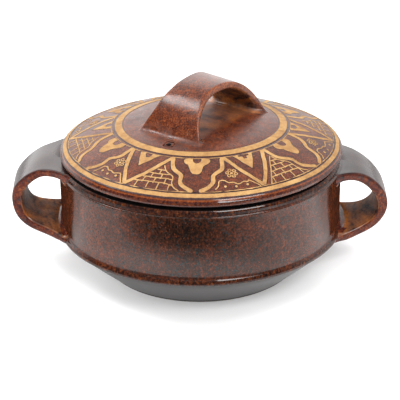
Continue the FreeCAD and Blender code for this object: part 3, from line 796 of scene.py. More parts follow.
# the same round the back, set out as on the front
for v, c in ((85.0, 116.0), (147.0, 178.0), (209.0, 239.0)):
    if v != 85.0:
        vee(v - 13.4 + g_.uniform(-.8, .8), 0, v, 0, v + 13.2 + g_.uniform(-.8, .8))
        tri(v - 6.2, v, v + 6.2, (round_notch if v < 200 else steps_notch)(v + g_.uniform(-.4, .4)), r1=80.6 + g_.uniform(-.6, .6))
    generic_arch(c, g_)
    blob(c, 1.0, int(c))
    generic_bricks(v, c, g_)
for c, v in ((116.0, 147.0), (178.0, 209.0), (239.0, 269.0)):
    generic_rosette(c, v, g_)

# distance field of all motifs on a fine polar grid
NT, R0, R1, DR = 2160, 57.2, 103.4, 0.22
NR = int(round((R1 - R0) / DR)) + 1
rad = R0 + DR * np.arange(NR)
ang_ = 2 * math.pi * np.arange(NT) / NT
GA, GR = np.meshgrid(ang_, rad, indexing="ij")
GX, GY = GR * np.sin(GA), -GR * np.cos(GA)
WX = GX + 0.20 * waves(GX, GY, 9.0, 31) + 0.075 * waves(GX, GY, 1.7, 33)
WY = GY + 0.20 * waves(GX, GY, 9.0, 32) + 0.075 * waves(GX, GY, 1.7, 34)
tan_f = np.full(GX.shape, 9.0)
dark_f = np.full(GX.shape, 9.0)


def window(x, y, pad):
    """Index window of the grid round a set of points."""
    rr = np.hypot(x, y)
    aa = np.arctan2(x, -y)
    mid = math.atan2(np.sin(aa).mean(), np.cos(aa).mean())
    rel = np.remainder(aa - mid + math.pi, 2 * math.pi) - math.pi
    da = pad / max(rr.min(), R0)
    a0, a1 = mid + rel.min() - da, mid + rel.max() + da
    i0, i1 = int(math.floor(a0 / (2 * math.pi) * NT)), int(math.ceil(a1 / (2 * math.pi) * NT))
    j0 = max(0, int((rr.min() - pad - R0) / DR))
    j1 = min(NR, int((rr.max() + pad - R0) / DR) + 2)
    return np.arange(i0, i1 + 1) % NT, slice(j0, j1)


def seg_dist(X, Y, a, b):
    ab = b - a
    L = max(float(ab @ ab), 1e-12)
    t = np.clip(((X - a[0]) * ab[0] + (Y - a[1]) * ab[1]) / L, 0, 1)
    return np.hypot(X - a[0] - t * ab[0], Y - a[1] - t * ab[1]), t


def lay(val, border, ii, jj):
    sub = tan_f[ii, jj]
    tan_f[ii, jj] = np.minimum(sub, val)
    dark_f[ii, jj] = np.minimum(dark_f[ii, jj], val - border)


for q, w0, w1, border in strokes:
    n = len(q) - 1
    for k in range(n):
        a, b = q[k], q[k + 1]
        ii, jj = window(np.array([a[0], b[0]]), np.array([a[1], b[1]]), 3.4)
        X, Y = WX[ii, jj], WY[ii, jj]
        d, t = seg_dist(X, Y, a, b)
        w = w0 + (w1 - w0) * (k + t) / n
        lay(d - w, border, ii, jj)


def poly_sdf(X, Y, p):
    best = np.full(X.shape, 99.0)
    inside = np.zeros(X.shape, bool)
    for k in range(len(p)):
        a, b = p[k], p[(k + 1) % len(p)]
        d, _ = seg_dist(X, Y, a, b)
        best = np.minimum(best, d)
        if a[1] != b[1]:
            cond = (a[1] > Y) != (b[1] > Y)
            inside ^= cond & (X < a[0] + (Y - a[1]) * (b[0] - a[0]) / (b[1] - a[1]))
    return np.where(inside, -best, best)


sol = np.full(GX.shape, 9.0)
for p in solids:
    ii, jj = window(p[:, 0], p[:, 1], 2.5)
    sol[ii, jj] = np.minimum(sol[ii, jj], poly_sdf(WX[ii, jj], WY[ii, jj], p) - 0.25)
for p in holes:
    ii, jj = window(p[:, 0], p[:, 1], 2.0)
    sol[ii, jj] = np.maximum(sol[ii, jj], -poly_sdf(WX[ii, jj], WY[ii, jj], p))
tan_f = np.minimum(tan_f, sol)
dark_f = np.minimum(dark_f, sol - 0.6)
for q, rd, border in dots:
    ii, jj = window(np.array([q[0]]), np.array([q[1]]), rd + 2.0)
    lay(np.hypot(WX[ii, jj] - q[0], WY[ii, jj] - q[1]) - rd, border, ii, jj)
WR = np.hypot(GX, GY) + 0.10 * waves(GX, GY, 14.0, 41) + 0.04 * waves(GX, GY, 2.0, 42)
for a, b in rings:
    v = np.abs(WR - (a + b) / 2) - (b - a) / 2
    tan_f = np.minimum(tan_f, v)
    dark_f = np.minimum(dark_f, v - 0.55)
for c, w in hair:
    v = np.abs(WR - c) - w + 0.16 * waves(GX, GY, 7.0, 43)
    tan_f = np.minimum(tan_f, v)
    dark_f = np.minimum(dark_f, v - 0.35)
# nothing at the grid's inner and outer rims
tan_f[:, 0] = np.maximum(tan_f[:, 0], 0.2)
tan_f[:, -1] = 9.0
dark_f[:, 0] = np.maximum(dark_f[:, 0], 0.2)
dark_f[:, -1] = 9.0


def contours(field):
    """Closed loops of (x, y) where the field is zero, with the negative side on the left."""
    inside = field < 0
    # crossing points on the grid's edges: key (kind, i, j), kind 0 along angle, 1 along radius
    pts = {}

    def cross(kind, i, j):
        key = (kind, i, j)
        if key not in pts:
            i2, j2 = ((i + 1) % NT, j) if kind == 0 else (i, j + 1)
            a, b = field[i, j], field[i2, j2]
            t = a / (a - b)
            t = min(0.98, max(0.02, t))
            r = rad[j] + (DR * t if kind == 1 else 0.0)
            an = ang_[i] + (2 * math.pi / NT * t if kind == 0 else 0.0)
            pts[key] = (r * math.sin(an), -r * math.cos(an))
        return key

    c00 = inside[:, :-1]
    c10 = np.roll(inside, -1, 0)[:, :-1]
    c11 = np.roll(inside, -1, 0)[:, 1:]
    c01 = inside[:, 1:]
    code = c00 * 1 + c10 * 2 + c11 * 4 + c01 * 8
    nxt = {}
    # edges of a cell: s (0,i,j), e (1,i+1,j), n (0,i,j+1), w (1,i,j)
    table = {1: ["ws"], 2: ["se"], 3: ["we"], 4: ["en"], 5: ["wn", "es"], 6: ["sn"], 7: ["wn"], 8: ["nw"], 9: ["ns"],
             10: ["nw", "se"], 11: ["ne"], 12: ["ew"], 13: ["es"], 14: ["sw"]}
    for i, j in zip(*np.nonzero((code > 0) & (code < 15))):
        i, j = int(i), int(j)
        for a, b in table[int(code[i, j])]:
            k = {}
            for ch in (a, b):
                k[ch] = {"s": (0, i, j), "e": (1, (i + 1) % NT, j), "n": (0, i, j + 1), "w": (1, i, j)}[ch]
            ka, kb = cross(*k[a]), cross(*k[b])
            nxt[ka] = kb
    loops = []
    while nxt:
        start, cur = next(iter(nxt.items()))
        loop = [start]
        del nxt[start]
        while cur != start and cur in nxt:
            loop.append(cur)
            cur = nxt.pop(cur)
        if cur == start and len(loop) > 5:
            loops.append(np.array([pts[k] for k in loop]))
    return loops


def thin(loop, tol, longest):
    """Drops points of a closed loop that lie within tol of the line kept, and keeps spans short."""
    n = len(loop)
    far = int(np.argmax(np.hypot(*(loop - loop[0]).T)))
    keep = np.zeros(n, bool)
    keep[0] = keep[far] = True

    def split(i, j):
        stack = [(i, j)]
        while stack:
            i, j = stack.pop()
            if j - i < 2:
                continue
            a, b = loop[i % n], loop[j % n]
            idx = np.arange(i + 1, j)
            p = loop[idx % n]
            ab = b - a
            L = math.hypot(*ab)
            if L < 1e-9:
                d = np.hypot(*(p - a).T)
            else:
                d = np.abs((p[:, 0] - a[0]) * ab[1] - (p[:, 1] - a[1]) * ab[0]) / L
            m = int(np.argmax(d))
            if d[m] > tol or L > longest:
                k = idx[m] if d[m] > tol else (i + j) // 2
                keep[k % n] = True
                stack += [(i, int(k)), (int(k), j)]

    split(0, far)
    split(far, n)
    return loop[keep]


def area(loop):
    x, y = loop[:, 0], loop[:, 1]
    return 0.5 * float((x * np.roll(y, -1) - y * np.roll(x, -1)).sum())


def sample(field, x, y):
    rr = np.clip((np.hypot(x, y) - R0) / DR, 0, NR - 1.001)
    aa = np.remainder(np.arctan2(x, -y) / (2 * math.pi) * NT, NT)
    i, j = aa.astype(int) % NT, rr.astype(int)
    u, v = aa - np.floor(aa), rr - j
    k = (i + 1) % NT
    return (field[i, j] * (1 - u) * (1 - v) + field[k, j] * u * (1 - v) + field[i, j + 1] * (1 - u) * v + field[k, j + 1] * u * v)


def inlay(field, seed, top, bottom, name, mats, tol=0.018):
    """Thin solid over the lid wherever the field is negative, its top standing 'top' above the glaze."""
    loops = [thin(l, tol, 2.6) for l in contours(field)]
    loops = [l for l in loops if len(l) >= 3 and abs(area(l)) > 0.12]
    pts, edges = [], []
    for l in loops:
        base = len(pts)
        pts += [tuple(q) for q in l]
        edges += [(base + k, base + (k + 1) % len(l)) for k in range(len(l))]
    nb = len(pts)
    # points within the larger areas, so that the top follows the crown
    inner_pts = []
    for k, rr in enumerate(np.concatenate([np.arange(R0 + 1.2, 96.0, 2.4), np.arange(96.2, R1 - 0.5, 0.9)])):
        m = int(2 * math.pi * rr / 2.6)
        for a in (np.arange(m) + 0.5 * (k % 2)) / m * 2 * math.pi:
            inner_pts.append((rr * math.sin(a), -rr * math.cos(a)))
    inner_pts = np.array(inner_pts)
    ok = sample(field, inner_pts[:, 0], inner_pts[:, 1]) < np.where(np.hypot(*inner_pts.T) > 96.0, -0.38, -0.55)
    pts += [tuple(q) for q in inner_pts[ok]]
    res = geometry.delaunay_2d_cdt([Vector(p) for p in pts], edges, [], 0, 1e-5)
    vo, eo, fo, ov, oe, of_ = res
    vo = np.array([tuple(v) for v in vo])
    fixed = set()
    for e, src in zip(eo, oe):
        if len(src):
            fixed.add((min(e), max(e)))
    # groups of triangles that no outline separates
    owner = {}
    for t, f in enumerate(fo):
        for k in range(len(f)):
            a, b = f[k], f[(k + 1) % len(f)]
            owner.setdefault((min(a, b), max(a, b)), []).append(t)
    group = -np.ones(len(fo), int)
    near = [[] for _ in fo]
    for e, ts in owner.items():
        if len(ts) == 2 and e not in fixed:
            near[ts[0]].append(ts[1])
            near[ts[1]].append(ts[0])
    gid = 0
    for t in range(len(fo)):
        if group[t] >= 0:
            continue
        stack = [t]
        group[t] = gid
        while stack:
            u = stack.pop()
            for w in near[u]:
                if group[w] < 0:
                    group[w] = gid
                    stack.append(w)
        gid += 1
    tri_ = np.array([list(f)[:3] for f in fo])
    pa, pb, pc = vo[tri_[:, 0]], vo[tri_[:, 1]], vo[tri_[:, 2]]
    ar = 0.5 * ((pb[:, 0] - pa[:, 0]) * (pc[:, 1] - pa[:, 1]) - (pb[:, 1] - pa[:, 1]) * (pc[:, 0] - pa[:, 0]))
    cen = (pa + pb + pc) / 3
    val = sample(field, cen[:, 0], cen[:, 1])
    rc = np.hypot(*cen.T)
    val = np.where((rc < R0 + 0.1) | (rc > R1 - 0.1), 5.0, val)
    vote = np.bincount(group, weights=np.abs(ar) * np.clip(val, -0.4, 0.4), minlength=gid)
    keep = vote[group] < 0
    tri_ = tri_[keep]
    ar = ar[keep]
    tri_ = np.where((ar < 0)[:, None], tri_[:, ::-1], tri_)
    used = np.unique(tri_)
    remap = -np.ones(len(vo), int)
    remap[used] = np.arange(len(used))
    tri_ = remap[tri_]
    P = vo[used]
    rr = np.hypot(*P.T)
    z = dome(rr)
    n = len(P)
    T = np.column_stack([P, z + top])
    B = np.column_stack([P, z - bottom])
    verts = np.vstack([T, B])
    faces = [tuple(int(k) for k in t) for t in tri_] + [tuple(int(k) + n for k in reversed(t)) for t in tri_]
    seen = {}
    for t in tri_:
        for k in range(3):
            a, b = int(t[k]), int(t[(k + 1) % 3])
            seen[(a, b)] = True
    walls = [(a, b) for (a, b) in seen if (b, a) not in seen]
    faces += [(a, a + n, b + n, b) for a, b in walls]
    print(name, "loops", len(loops), "outline points", nb, "triangles", len(tri_), "walls", len(walls))
    return dict(verts=verts, faces=faces)


tan_data = inlay(tan_f, 1, 0.12, 0.22, "lid_ornament", None)
dark_data = inlay(dark_f, 2, 0.035, 0.20, "lid_outline", None)

# ------------------------------------------------------------------ materials


class Nodes:
    def __init__(self, name):
        self.mat = bpy.data.materials.new(name)
        self.mat.use_nodes = True
        self.t = self.mat.node_tree
        self.bsdf = self.t.nodes["Principled BSDF"] if "Principled BSDF" in self.t.nodes else None
        if self.bsdf is None:
            self.t.nodes.clear()
            out = self.t.nodes.new("ShaderNodeOutputMaterial")
            self.bsdf = self.t.nodes.new("ShaderNodeBsdfPrincipled")
            self.t.links.new(self.bsdf.outputs[0], out.inputs[0])
        self.coord = self.t.nodes.new("ShaderNodeTexCoord").outputs["Object"]

    def put(self, socket, value):
        if isinstance(value, bpy.types.NodeSocket):
            self.t.links.new(value, socket)
        elif hasattr(socket, "default_value"):
            if isinstance(value, (tuple, list)) and len(value) == 3 and len(socket.default_value) == 4:
                value = (*value, 1.0)
            socket.default_value = value

    def math(self, op, a, b=0.0, c=None, clamp=False):
        n = self.t.nodes.new("ShaderNodeMath")
        n.operation = op
        n.use_clamp = clamp
        self.put(n.inputs[0], a)
        self.put(n.inputs[1], b)
        if c is not None:
            self.put(n.inputs[2], c)
        return n.outputs[0]

    def mix(self, f, a, b, mode="MIX"):
        n = self.t.nodes.new("ShaderNodeMix")
        n.data_type = "RGBA"
        n.blend_type = mode
        self.put(n.inputs[0], f)
        self.put(n.inputs[6], a)
        self.put(n.inputs[7], b)
        return n.outputs[2]

    def scaled(self, v):
        n = self.t.nodes.new("ShaderNodeMapping")
        self.put(n.inputs[0], self.coord)
        n.inputs["Scale"].default_value = v
        return n.outputs[0]

    def noise(self, vec, scale, detail=2.0, rough=0.5, distort=0.0):
        n = self.t.nodes.new("ShaderNodeTexNoise")
        self.put(n.inputs["Vector"], vec)
        n.inputs["Scale"].default_value = scale
        n.inputs["Detail"].default_value = detail
        n.inputs["Roughness"].default_value = rough
        n.inputs["Distortion"].default_value = distort
        return n.outputs["Fac"]

    def cells(self, vec, scale, rand=1.0):
        n = self.t.nodes.new("ShaderNodeTexVoronoi")
        self.put(n.inputs["Vector"], vec)
        n.inputs["Scale"].default_value = scale
        n.inputs["Randomness"].default_value = rand
        return n

    def ramp(self, f, stops):
        n = self.t.nodes.new("ShaderNodeValToRGB")
        self.put(n.inputs[0], f)
        cr = n.color_ramp
        while len(cr.elements) < len(stops):
            cr.elements.new(0.5)
        for e, (pos, col) in zip(cr.elements, stops):
            e.position = pos
            e.color = (*col, 1.0) if isinstance(col, tuple) else (col, col, col, 1.0)
        return n.outputs[0]

    def range(self, v, a, b, c=0.0, d=1.0, smooth=False):
        n = self.t.nodes.new("ShaderNodeMapRange")
        n.interpolation_type = "SMOOTHSTEP" if smooth else "LINEAR"
        self.put(n.inputs["Value"], v)
        n.inputs["From Min"].default_value = a
        n.inputs["From Max"].default_value = b
        n.inputs["To Min"].default_value = c
        n.inputs["To Max"].default_value = d
        return n.outputs["Result"]

    def attr(self, name):
        n = self.t.nodes.new("ShaderNodeAttribute")
        n.attribute_name = name
        return n.outputs["Fac"]

    def bump(self, h, strength, distance, normal=None):
        n = self.t.nodes.new("ShaderNodeBump")
        n.inputs["Strength"].default_value = strength
        n.inputs["Distance"].default_value = distance
        self.put(n.inputs["Height"], h)
        if normal is not None:
            self.put(n.inputs["Normal"], normal)
        return n.outputs[0]

    def radius(self, centre=0.0):
        s = self.t.nodes.new("ShaderNodeSeparateXYZ")
        self.put(s.inputs[0], self.coord)
        x = self.math("SUBTRACT", s.outputs[0], centre)
        x2 = self.math("MULTIPLY", x, x)
        y2 = self.math("MULTIPLY", s.outputs[1], s.outputs[1])
        return self.math("MULTIPLY", self.math("SQRT", self.math("ADD", x2, y2)), 1000.0), s.outputs[2]


def glaze(name, lift=0.0, streak=(1.0, 1.0, 1.0), rough=(0.12, 0.20), on_lid=False, fine_scale=1.0, strap=False, gloss=1.56, calm=1.0, rust=0.085,
          tones=None, black_strength=0.93, mid=0.30, band_tones=None, keen=0.0, crystals=0.45, spots=0.80):
    """Iron-red stoneware glaze: dark body, fine rust mottle, orange breaks on the edges, bare clay where it was wiped."""
    m = Nodes(name)
    v = m.scaled(streak)
    n_fine = m.noise(v, 640.0 * fine_scale, 2.0, 0.55, 0.25)
    n_mid = m.noise(v, 230.0, 3.0, 0.6, 0.4)
    n_big = m.noise(m.coord, 26.0, 3.0, 0.55, 0.6)
    a = m.math("MULTIPLY_ADD", n_fine, 0.62 * calm, m.math("MULTIPLY", n_mid, mid * calm))
    a = m.math("ADD", a, m.math("MULTIPLY_ADD", n_big, 0.20, 0.395 - (0.31 + 0.5 * mid) * calm + lift))
    # the 'edge' attribute adds rust on broken edges; on the pot it also carries painted light on the wall's sides and
    # painted shade at its front and by the handles
    edge = m.attr("edge")
    a = m.math("MULTIPLY_ADD", edge, rust, a)
    col = m.ramp(a, tones or [(0.28, (0.007, 0.004, 0.004)), (0.42, (0.024, 0.007, 0.005)), (0.53, (0.066, 0.0155, 0.0070)),
                              (0.64, (0.155, 0.036, 0.0105)), (0.76, (0.310, 0.086, 0.020))])
    # small orange crystals
    sp = m.cells(v, 620.0 * fine_scale)
    crystal = m.math("MULTIPLY", m.range(sp.outputs["Distance"], 0.42, 0.18, 0.0, 1.0, True), m.range(m.noise(v, 300.0, 1.0), 0.50, 0.62, 0.0, crystals, True))
    col = m.mix(crystal, col, (0.24, 0.052, 0.018))
    # dark blue-green iron spots
    sd = m.cells(m.scaled((streak[0] * 1.03, streak[1] * 0.97, streak[2] * 1.1)), 520.0 * fine_scale)
    spot = m.math("MULTIPLY", m.range(sd.outputs["Distance"], 0.46, 0.22, 0.0, 1.0, True), m.range(m.noise(v, 210.0, 1.0), 0.46, 0.60, 0.0, spots, True))
    if band_tones and not on_lid:
        spot = m.math("MULTIPLY", spot, m.math("MINIMUM", m.attr("shine"), 1.0))
    col = m.mix(spot, col, (0.009, 0.028, 0.033) if tones else (0.010, 0.017, 0.018))
    rough_v = m.range(m.noise(m.coord, 150.0, 3.0, 0.6), 0.3, 0.7, rough[0], rough[1])
    if band_tones:
        # bands that the wheel left sharp: the glaze breaks there, glossier than on the open wall
        band = m.attr("band")
        patch = m.math("MULTIPLY_ADD", m.noise(v, 480.0, 3.0, 0.65), 0.70, m.math("MULTIPLY", n_fine, 0.30))
        col = m.mix(m.math("MULTIPLY", band, 0.85), col, m.ramp(patch, band_tones))
        rough_v = m.math("MAXIMUM", m.math("MULTIPLY_ADD", band, -keen, rough_v), 0.06)
        if not on_lid:
            m.put(m.bsdf.inputs["Specular IOR Level"], m.math("MULTIPLY", m.attr("shine"), 0.5))
    # near black where the 'black' attribute is set: on the pot and lid mostly painted shade and painted dark
    # reflection, with glaze pooled under the pot's bead; on the straps the upper part of the outer face
    black = m.attr("black")
    col = m.mix(m.math("MULTIPLY", black, black_strength), col, (0.0105, 0.0085, 0.0090))
    if strap:
        foot = m.math("MULTIPLY", m.range(m.attr("near"), 0.45, 0.95, 0.0, 1.0, True), m.range(m.noise(m.coord, 70.0, 2.0), 0.40, 0.62, 0.0, 0.34, True))
        rough_v = m.math("ADD", rough_v, foot)
        inner = m.range(m.attr("inside"), 0.62, 0.95, 0.0, 1.0, True)
        col = m.mix(m.math("MULTIPLY", inner, 0.9), col, finger_tone(m))
    height = m.math("MULTIPLY_ADD", n_fine, 0.35, m.math("MULTIPLY", m.noise(m.coord, 95.0, 2.0), 0.9))
    if on_lid:
        r, z = m.radius(0.001)
        up = m.range(z, 0.0885, 0.0925)
        # dark lines at the turned grooves, and at 104.45 mm on the rounded edge a painted dark reflection
        for c, w, k in ((64.7, 0.55, 0.7), (99.0, 0.42, 0.65), (102.9, 0.50, 0.80), (57.35, 0.30, 0.40), (104.45, 0.22, 0.6)):
            line = m.range(m.math("ABSOLUTE", m.math("SUBTRACT", r, c)), w, w * 0.35, 0.0, k, True)
            col = m.mix(m.math("MULTIPLY", line, up), col, (0.016, 0.006, 0.009))
        for c, w, k in ((56.7, 0.30, 0.35), (101.5, 0.22, 0.40), (103.75, 0.30, 0.50)):
            line = m.range(m.math("ABSOLUTE", m.math("SUBTRACT", r, c)), w, w * 0.3, 0.0, k, True)
            col = m.mix(m.math("MULTIPLY", line, up), col, (0.23, 0.058, 0.015))
        # painted shade and painted reflection below the lid's strap, with a rougher glaze there
        dull_and_shade = m.attr("dull_and_shade")
        col = m.mix(m.math("MULTIPLY", dull_and_shade, 0.60), col, finger_tone(m))
        rough_v = m.math("MULTIPLY_ADD", dull_and_shade, 0.24, rough_v)
    cone = m.attr("cone")
    col = m.mix(m.math("MULTIPLY", cone, 0.85), col, (0.0205, 0.0182, 0.0190))
    bare = m.attr("bare")
    grit = m.noise(m.coord, 900.0, 3.0, 0.7)
    clay = m.ramp(grit, [(0.3, (0.10, 0.060, 0.040)), (0.6, (0.20, 0.125, 0.080)), (0.75, (0.30, 0.20, 0.135))])
    col = m.mix(bare, col, clay)
    m.put(m.bsdf.inputs["Base Color"], col)
    m.put(m.bsdf.inputs["Roughness"], m.math("MAXIMUM", m.math("MAXIMUM", rough_v, m.math("MULTIPLY", cone, 0.28)), m.math("MULTIPLY", bare, 0.85)))
    m.bsdf.inputs["IOR"].default_value = gloss
    m.put(m.bsdf.inputs["Normal"], m.bump(height, 0.16, 0.00018))
    return m.mat


def finger_tone(m, lift=0.0):
    """Warm brown with rust and soot-dark smears, where the glaze lies thin towards the fingers; also used for the
    painted shade below the lid's strap.
    """
    smear = m.math("MULTIPLY_ADD", m.noise(m.scaled((1.0, 0.5, 1.0)), 48.0, 3.0, 0.55, 1.6), 0.78, m.math("MULTIPLY_ADD", m.noise(m.coord, 420.0, 2.0), 0.22, lift))
    return m.ramp(smear, [(0.38, (0.018, 0.014, 0.017)), (0.45, (0.082, 0.034, 0.019)), (0.52, (0.180, 0.066, 0.027)), (0.59, (0.255, 0.086, 0.026)),
                          (0.67, (0.420, 0.135, 0.024))])


def finger_side(name, lift=0.0):
    """Dull thin glaze on the inner face of a strap."""
    m = Nodes(name)
    col = finger_tone(m, lift)
    n = m.noise(m.coord, 640.0, 2.0, 0.55)
    col = m.mix(m.range(n, 0.52, 0.66, 0.0, 0.55), col, (0.20, 0.062, 0.024))
    col = m.mix(m.range(n, 0.46, 0.34, 0.0, 0.5), col, (0.035, 0.020, 0.018))
    m.put(m.bsdf.inputs["Base Color"], col)
    m.put(m.bsdf.inputs["Roughness"], m.range(m.noise(m.coord, 120.0, 2.0), 0.3, 0.7, 0.42, 0.60))
    m.bsdf.inputs["IOR"].default_value = 1.12
    m.put(m.bsdf.inputs["Specular IOR Level"], m.range(m.attr("near"), 0.35, 0.75, 0.5, 0.0, True))
    m.put(m.bsdf.inputs["Normal"], m.bump(m.math("MULTIPLY_ADD", n, 0.4, m.noise(m.coord, 95.0, 2.0)), 0.2, 0.0002))
    return m.mat


def shade():
    """The gallery between rim and lid: painted shade, a near-black matt glaze."""
    m = Nodes("brown_glaze_gallery_shade")
    n = m.noise(m.coord, 380.0, 3.0, 0.6)
    m.put(m.bsdf.inputs["Base Color"], m.ramp(n, [(0.35, (0.0016, 0.0012, 0.0012)), (0.65, (0.004, 0.003, 0.003))]))
    m.put(m.bsdf.inputs["Roughness"], m.range(n, 0.3, 0.7, 0.8, 0.95))
    m.bsdf.inputs["IOR"].default_value = 1.12
    m.put(m.bsdf.inputs["Normal"], m.bump(n, 0.2, 0.0001))
    return m.mat


def slip():
    """Matt tan slip with fine grit and small burnt specks."""
    m = Nodes("tan_slip_matt")
    big = m.noise(m.coord, 45.0, 3.0, 0.55, 0.4)
    mid = m.noise(m.coord, 260.0, 3.0, 0.6)
    grit = m.noise(m.coord, 900.0, 2.0, 0.6)
    f = m.math("ADD", m.math("MULTIPLY", big, 0.45), m.math("MULTIPLY_ADD", mid, 0.35, m.math("MULTIPLY", grit, 0.22)))
    col = m.ramp(f, [(0.38, (0.228, 0.110, 0.036)), (0.50, (0.333, 0.180, 0.062)), (0.62, (0.412, 0.242, 0.092))])
    sp = m.cells(m.coord, 520.0)
    speck = m.math("MULTIPLY", m.range(sp.outputs["Distance"], 0.28, 0.10, 0.0, 1.0, True), m.range(m.noise(m.coord, 210.0, 1.0), 0.58, 0.70, 0.0, 0.4, True))
    col = m.mix(speck, col, (0.15, 0.060, 0.028))
    m.put(m.bsdf.inputs["Base Color"], col)
    m.put(m.bsdf.inputs["Roughness"], m.range(grit, 0.3, 0.7, 0.55, 0.75))
    m.bsdf.inputs["IOR"].default_value = 1.45
    m.put(m.bsdf.inputs["Normal"], m.bump(m.math("ADD", m.math("MULTIPLY", grit, 0.5), mid), 0.35, 0.00012))
    return m.mat


def outline():
    m = Nodes("brown_glaze_line")
    n = m.noise(m.coord, 420.0, 3.0, 0.6)
    col = m.ramp(n, [(0.35, (0.012, 0.006, 0.008)), (0.55, (0.030, 0.011, 0.011)), (0.72, (0.085, 0.024, 0.014))])
    m.put(m.bsdf.inputs["Base Color"], col)
    m.put(m.bsdf.inputs["Roughness"], m.range(n, 0.3, 0.7, 0.28, 0.42))
    m.bsdf.inputs["IOR"].default_value = 1.5
    m.put(m.bsdf.inputs["Normal"], m.bump(n, 0.3, 0.00015))
    return m.mat


POT_TONES = [(0.30, (0.006, 0.0040, 0.0034)), (0.42, (0.020, 0.0078, 0.0044)), (0.52, (0.044, 0.0120, 0.0054)), (0.62, (0.090, 0.0200, 0.0070)),
             (0.74, (0.160, 0.0380, 0.0105))]
POT_BANDS = [(0.40, (0.006, 0.0040, 0.0040)), (0.50, (0.026, 0.0085, 0.0055)), (0.59, (0.080, 0.0210, 0.0070)), (0.70, (0.175, 0.0560, 0.0140))]
LID_BANDS = [(0.38, (0.014, 0.0045, 0.0045)), (0.50, (0.060, 0.0135, 0.0065)), (0.63, (0.165, 0.0400, 0.0105))]
SIDE_TONES = [(0.30, (0.012, 0.0060, 0.0080)), (0.43, (0.036, 0.0100, 0.0085)), (0.53, (0.076, 0.0165, 0.0095)), (0.63, (0.130, 0.0300, 0.0110)),
              (0.75, (0.230, 0.0640, 0.0150))]
pot_mat = glaze("brown_glaze_pot", lift=-0.024, rough=(0.10, 0.17), streak=(1.0, 1.0, 0.8), fine_scale=1.2, gloss=1.46, rust=0.11, tones=POT_TONES,
                mid=0.32, band_tones=POT_BANDS, keen=0.07, crystals=0.30, spots=0.80)
strap_mat = glaze("brown_glaze_straps", lift=0.0, streak=(1.0, 1.0, 0.9), fine_scale=1.3, strap=True, rust=0.05, black_strength=0.72)
side_mat = glaze("brown_glaze_strap_side", lift=0.02, rough=(0.09, 0.16), streak=(1.0, 1.0, 0.9), fine_scale=1.1, gloss=1.27, rust=0.03, tones=SIDE_TONES,
                 black_strength=0.70, mid=0.38)
lid_mat = glaze("brown_glaze_lid", lift=0.05, rough=(0.26, 0.40), on_lid=True, fine_scale=1.4, gloss=1.50, calm=0.8, band_tones=LID_BANDS, keen=0.24)
lidstrap_mat = glaze("brown_glaze_lid_strap", lift=0.055, rough=(0.16, 0.26), strap=True, fine_scale=1.5, calm=0.9)
inner_mat = finger_side("brown_glaze_finger_side", 0.005)
# painted light: a lighter copy of the inner-face glaze for the right strap
inner_lit_mat = finger_side("brown_glaze_finger_side_lit", 0.045)
gallery_shade_mat = shade()
slip_mat = slip()
line_mat = outline()

# ------------------------------------------------------------------ pieces


def settle(data):
    """The loose lid as it sits: a millimetre to the right, its crown a hair higher in front than behind."""
    V = np.array(data["verts"], float)
    r = np.hypot(V[:, 0], V[:, 1])
    free = np.clip((104.4 - r) / 3.0, 0, 1) * np.clip((V[:, 2] - 92.0) / 2.0, 0, 1)
    V[:, 2] -= 0.75 * V[:, 1] / 100.0 * free * free * (3 - 2 * free)
    V[:, 0] += 1.0
    return dict(data, verts=V)


lid_data, lidstrap_data, tan_data, dark_data = (settle(d) for d in (lid_data, lidstrap_data, tan_data, dark_data))


def piece(name, data, mat, body, slot, *nodes, others=()):
    index = data.get("index")
    ob = make(name, data["verts"], data["faces"], data.get("attrs"), [mat, *others], index)
    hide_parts(*nodes)
    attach(ob, body)
    return ob


pot = piece("pot_shell", pot_data, pot_mat, "pot", "brown_glaze", "pot_body", others=(gallery_shade_mat,))
left = piece("left_strap", left_data, strap_mat, "pot", "brown_glaze", "left_handle", others=(inner_mat, side_mat))
right = piece("right_strap", right_data, strap_mat, "pot", "brown_glaze", "right_handle", others=(inner_lit_mat, side_mat))
lid = piece("lid_shell", lid_data, lid_mat, "lid", "brown_glaze", "lid_dome", "lid_flange", others=(gallery_shade_mat,))
lid_strap = piece("lid_strap", lidstrap_data, lidstrap_mat, "lid", "brown_glaze", "lid_handle", others=(inner_mat, lidstrap_mat))
orn = piece("lid_ornament", tan_data, slip_mat, "lid", "tan_slip", "inner_slip_band", "outer_slip_band")
orn_line = piece("lid_outline", dark_data, line_mat, "lid", "brown_glaze", "inner_slip_band", "outer_slip_band")
for ob in (orn, orn_line):
    # flat-topped relief: sharp where the wall meets the top
    me = ob.data
    me.set_sharp_from_angle(angle=math.radians(35))

# ------------------------------------------------------------------ floor, light, camera
fm = Nodes("floor_pale")
fn = fm.noise(fm.coord, 3.0, 2.0)
f_sep = fm.t.nodes.new("ShaderNodeSeparateXYZ")
fm.put(f_sep.inputs[0], fm.coord)
# painted shadow: the floor's colour darkens round the foot of the pot and in a soft ring in front of it
f_dx, f_dy = fm.math("SUBTRACT", f_sep.outputs[0], 0.030), fm.math("MULTIPLY", fm.math("ADD", f_sep.outputs[1], 0.095), 1.25)
f_shadow_dist = fm.math("SQRT", fm.math("ADD", fm.math("MULTIPLY", f_dx, f_dx), fm.math("MULTIPLY", f_dy, f_dy)))
f_col = fm.ramp(fn, [(0.0, (0.86, 0.86, 0.86)), (1.0, (0.88, 0.88, 0.88))])
f_col = fm.mix(fm.range(f_shadow_dist, 0.135, 0.04, 0.0, 0.75, True), f_col, (0.70, 0.70, 0.70))
f_x2, f_y2 = fm.math("MULTIPLY", f_sep.outputs[0], f_sep.outputs[0]), fm.math("MULTIPLY", f_sep.outputs[1], f_sep.outputs[1])
f_far = fm.math("SQRT", fm.math("ADD", f_x2, f_y2))
f_shadow_ring = fm.math("MULTIPLY", fm.range(f_far, 0.074, 0.102, 0.0, 1.0, True), fm.range(f_far, 0.25, 0.115, 0.0, 1.0, True))
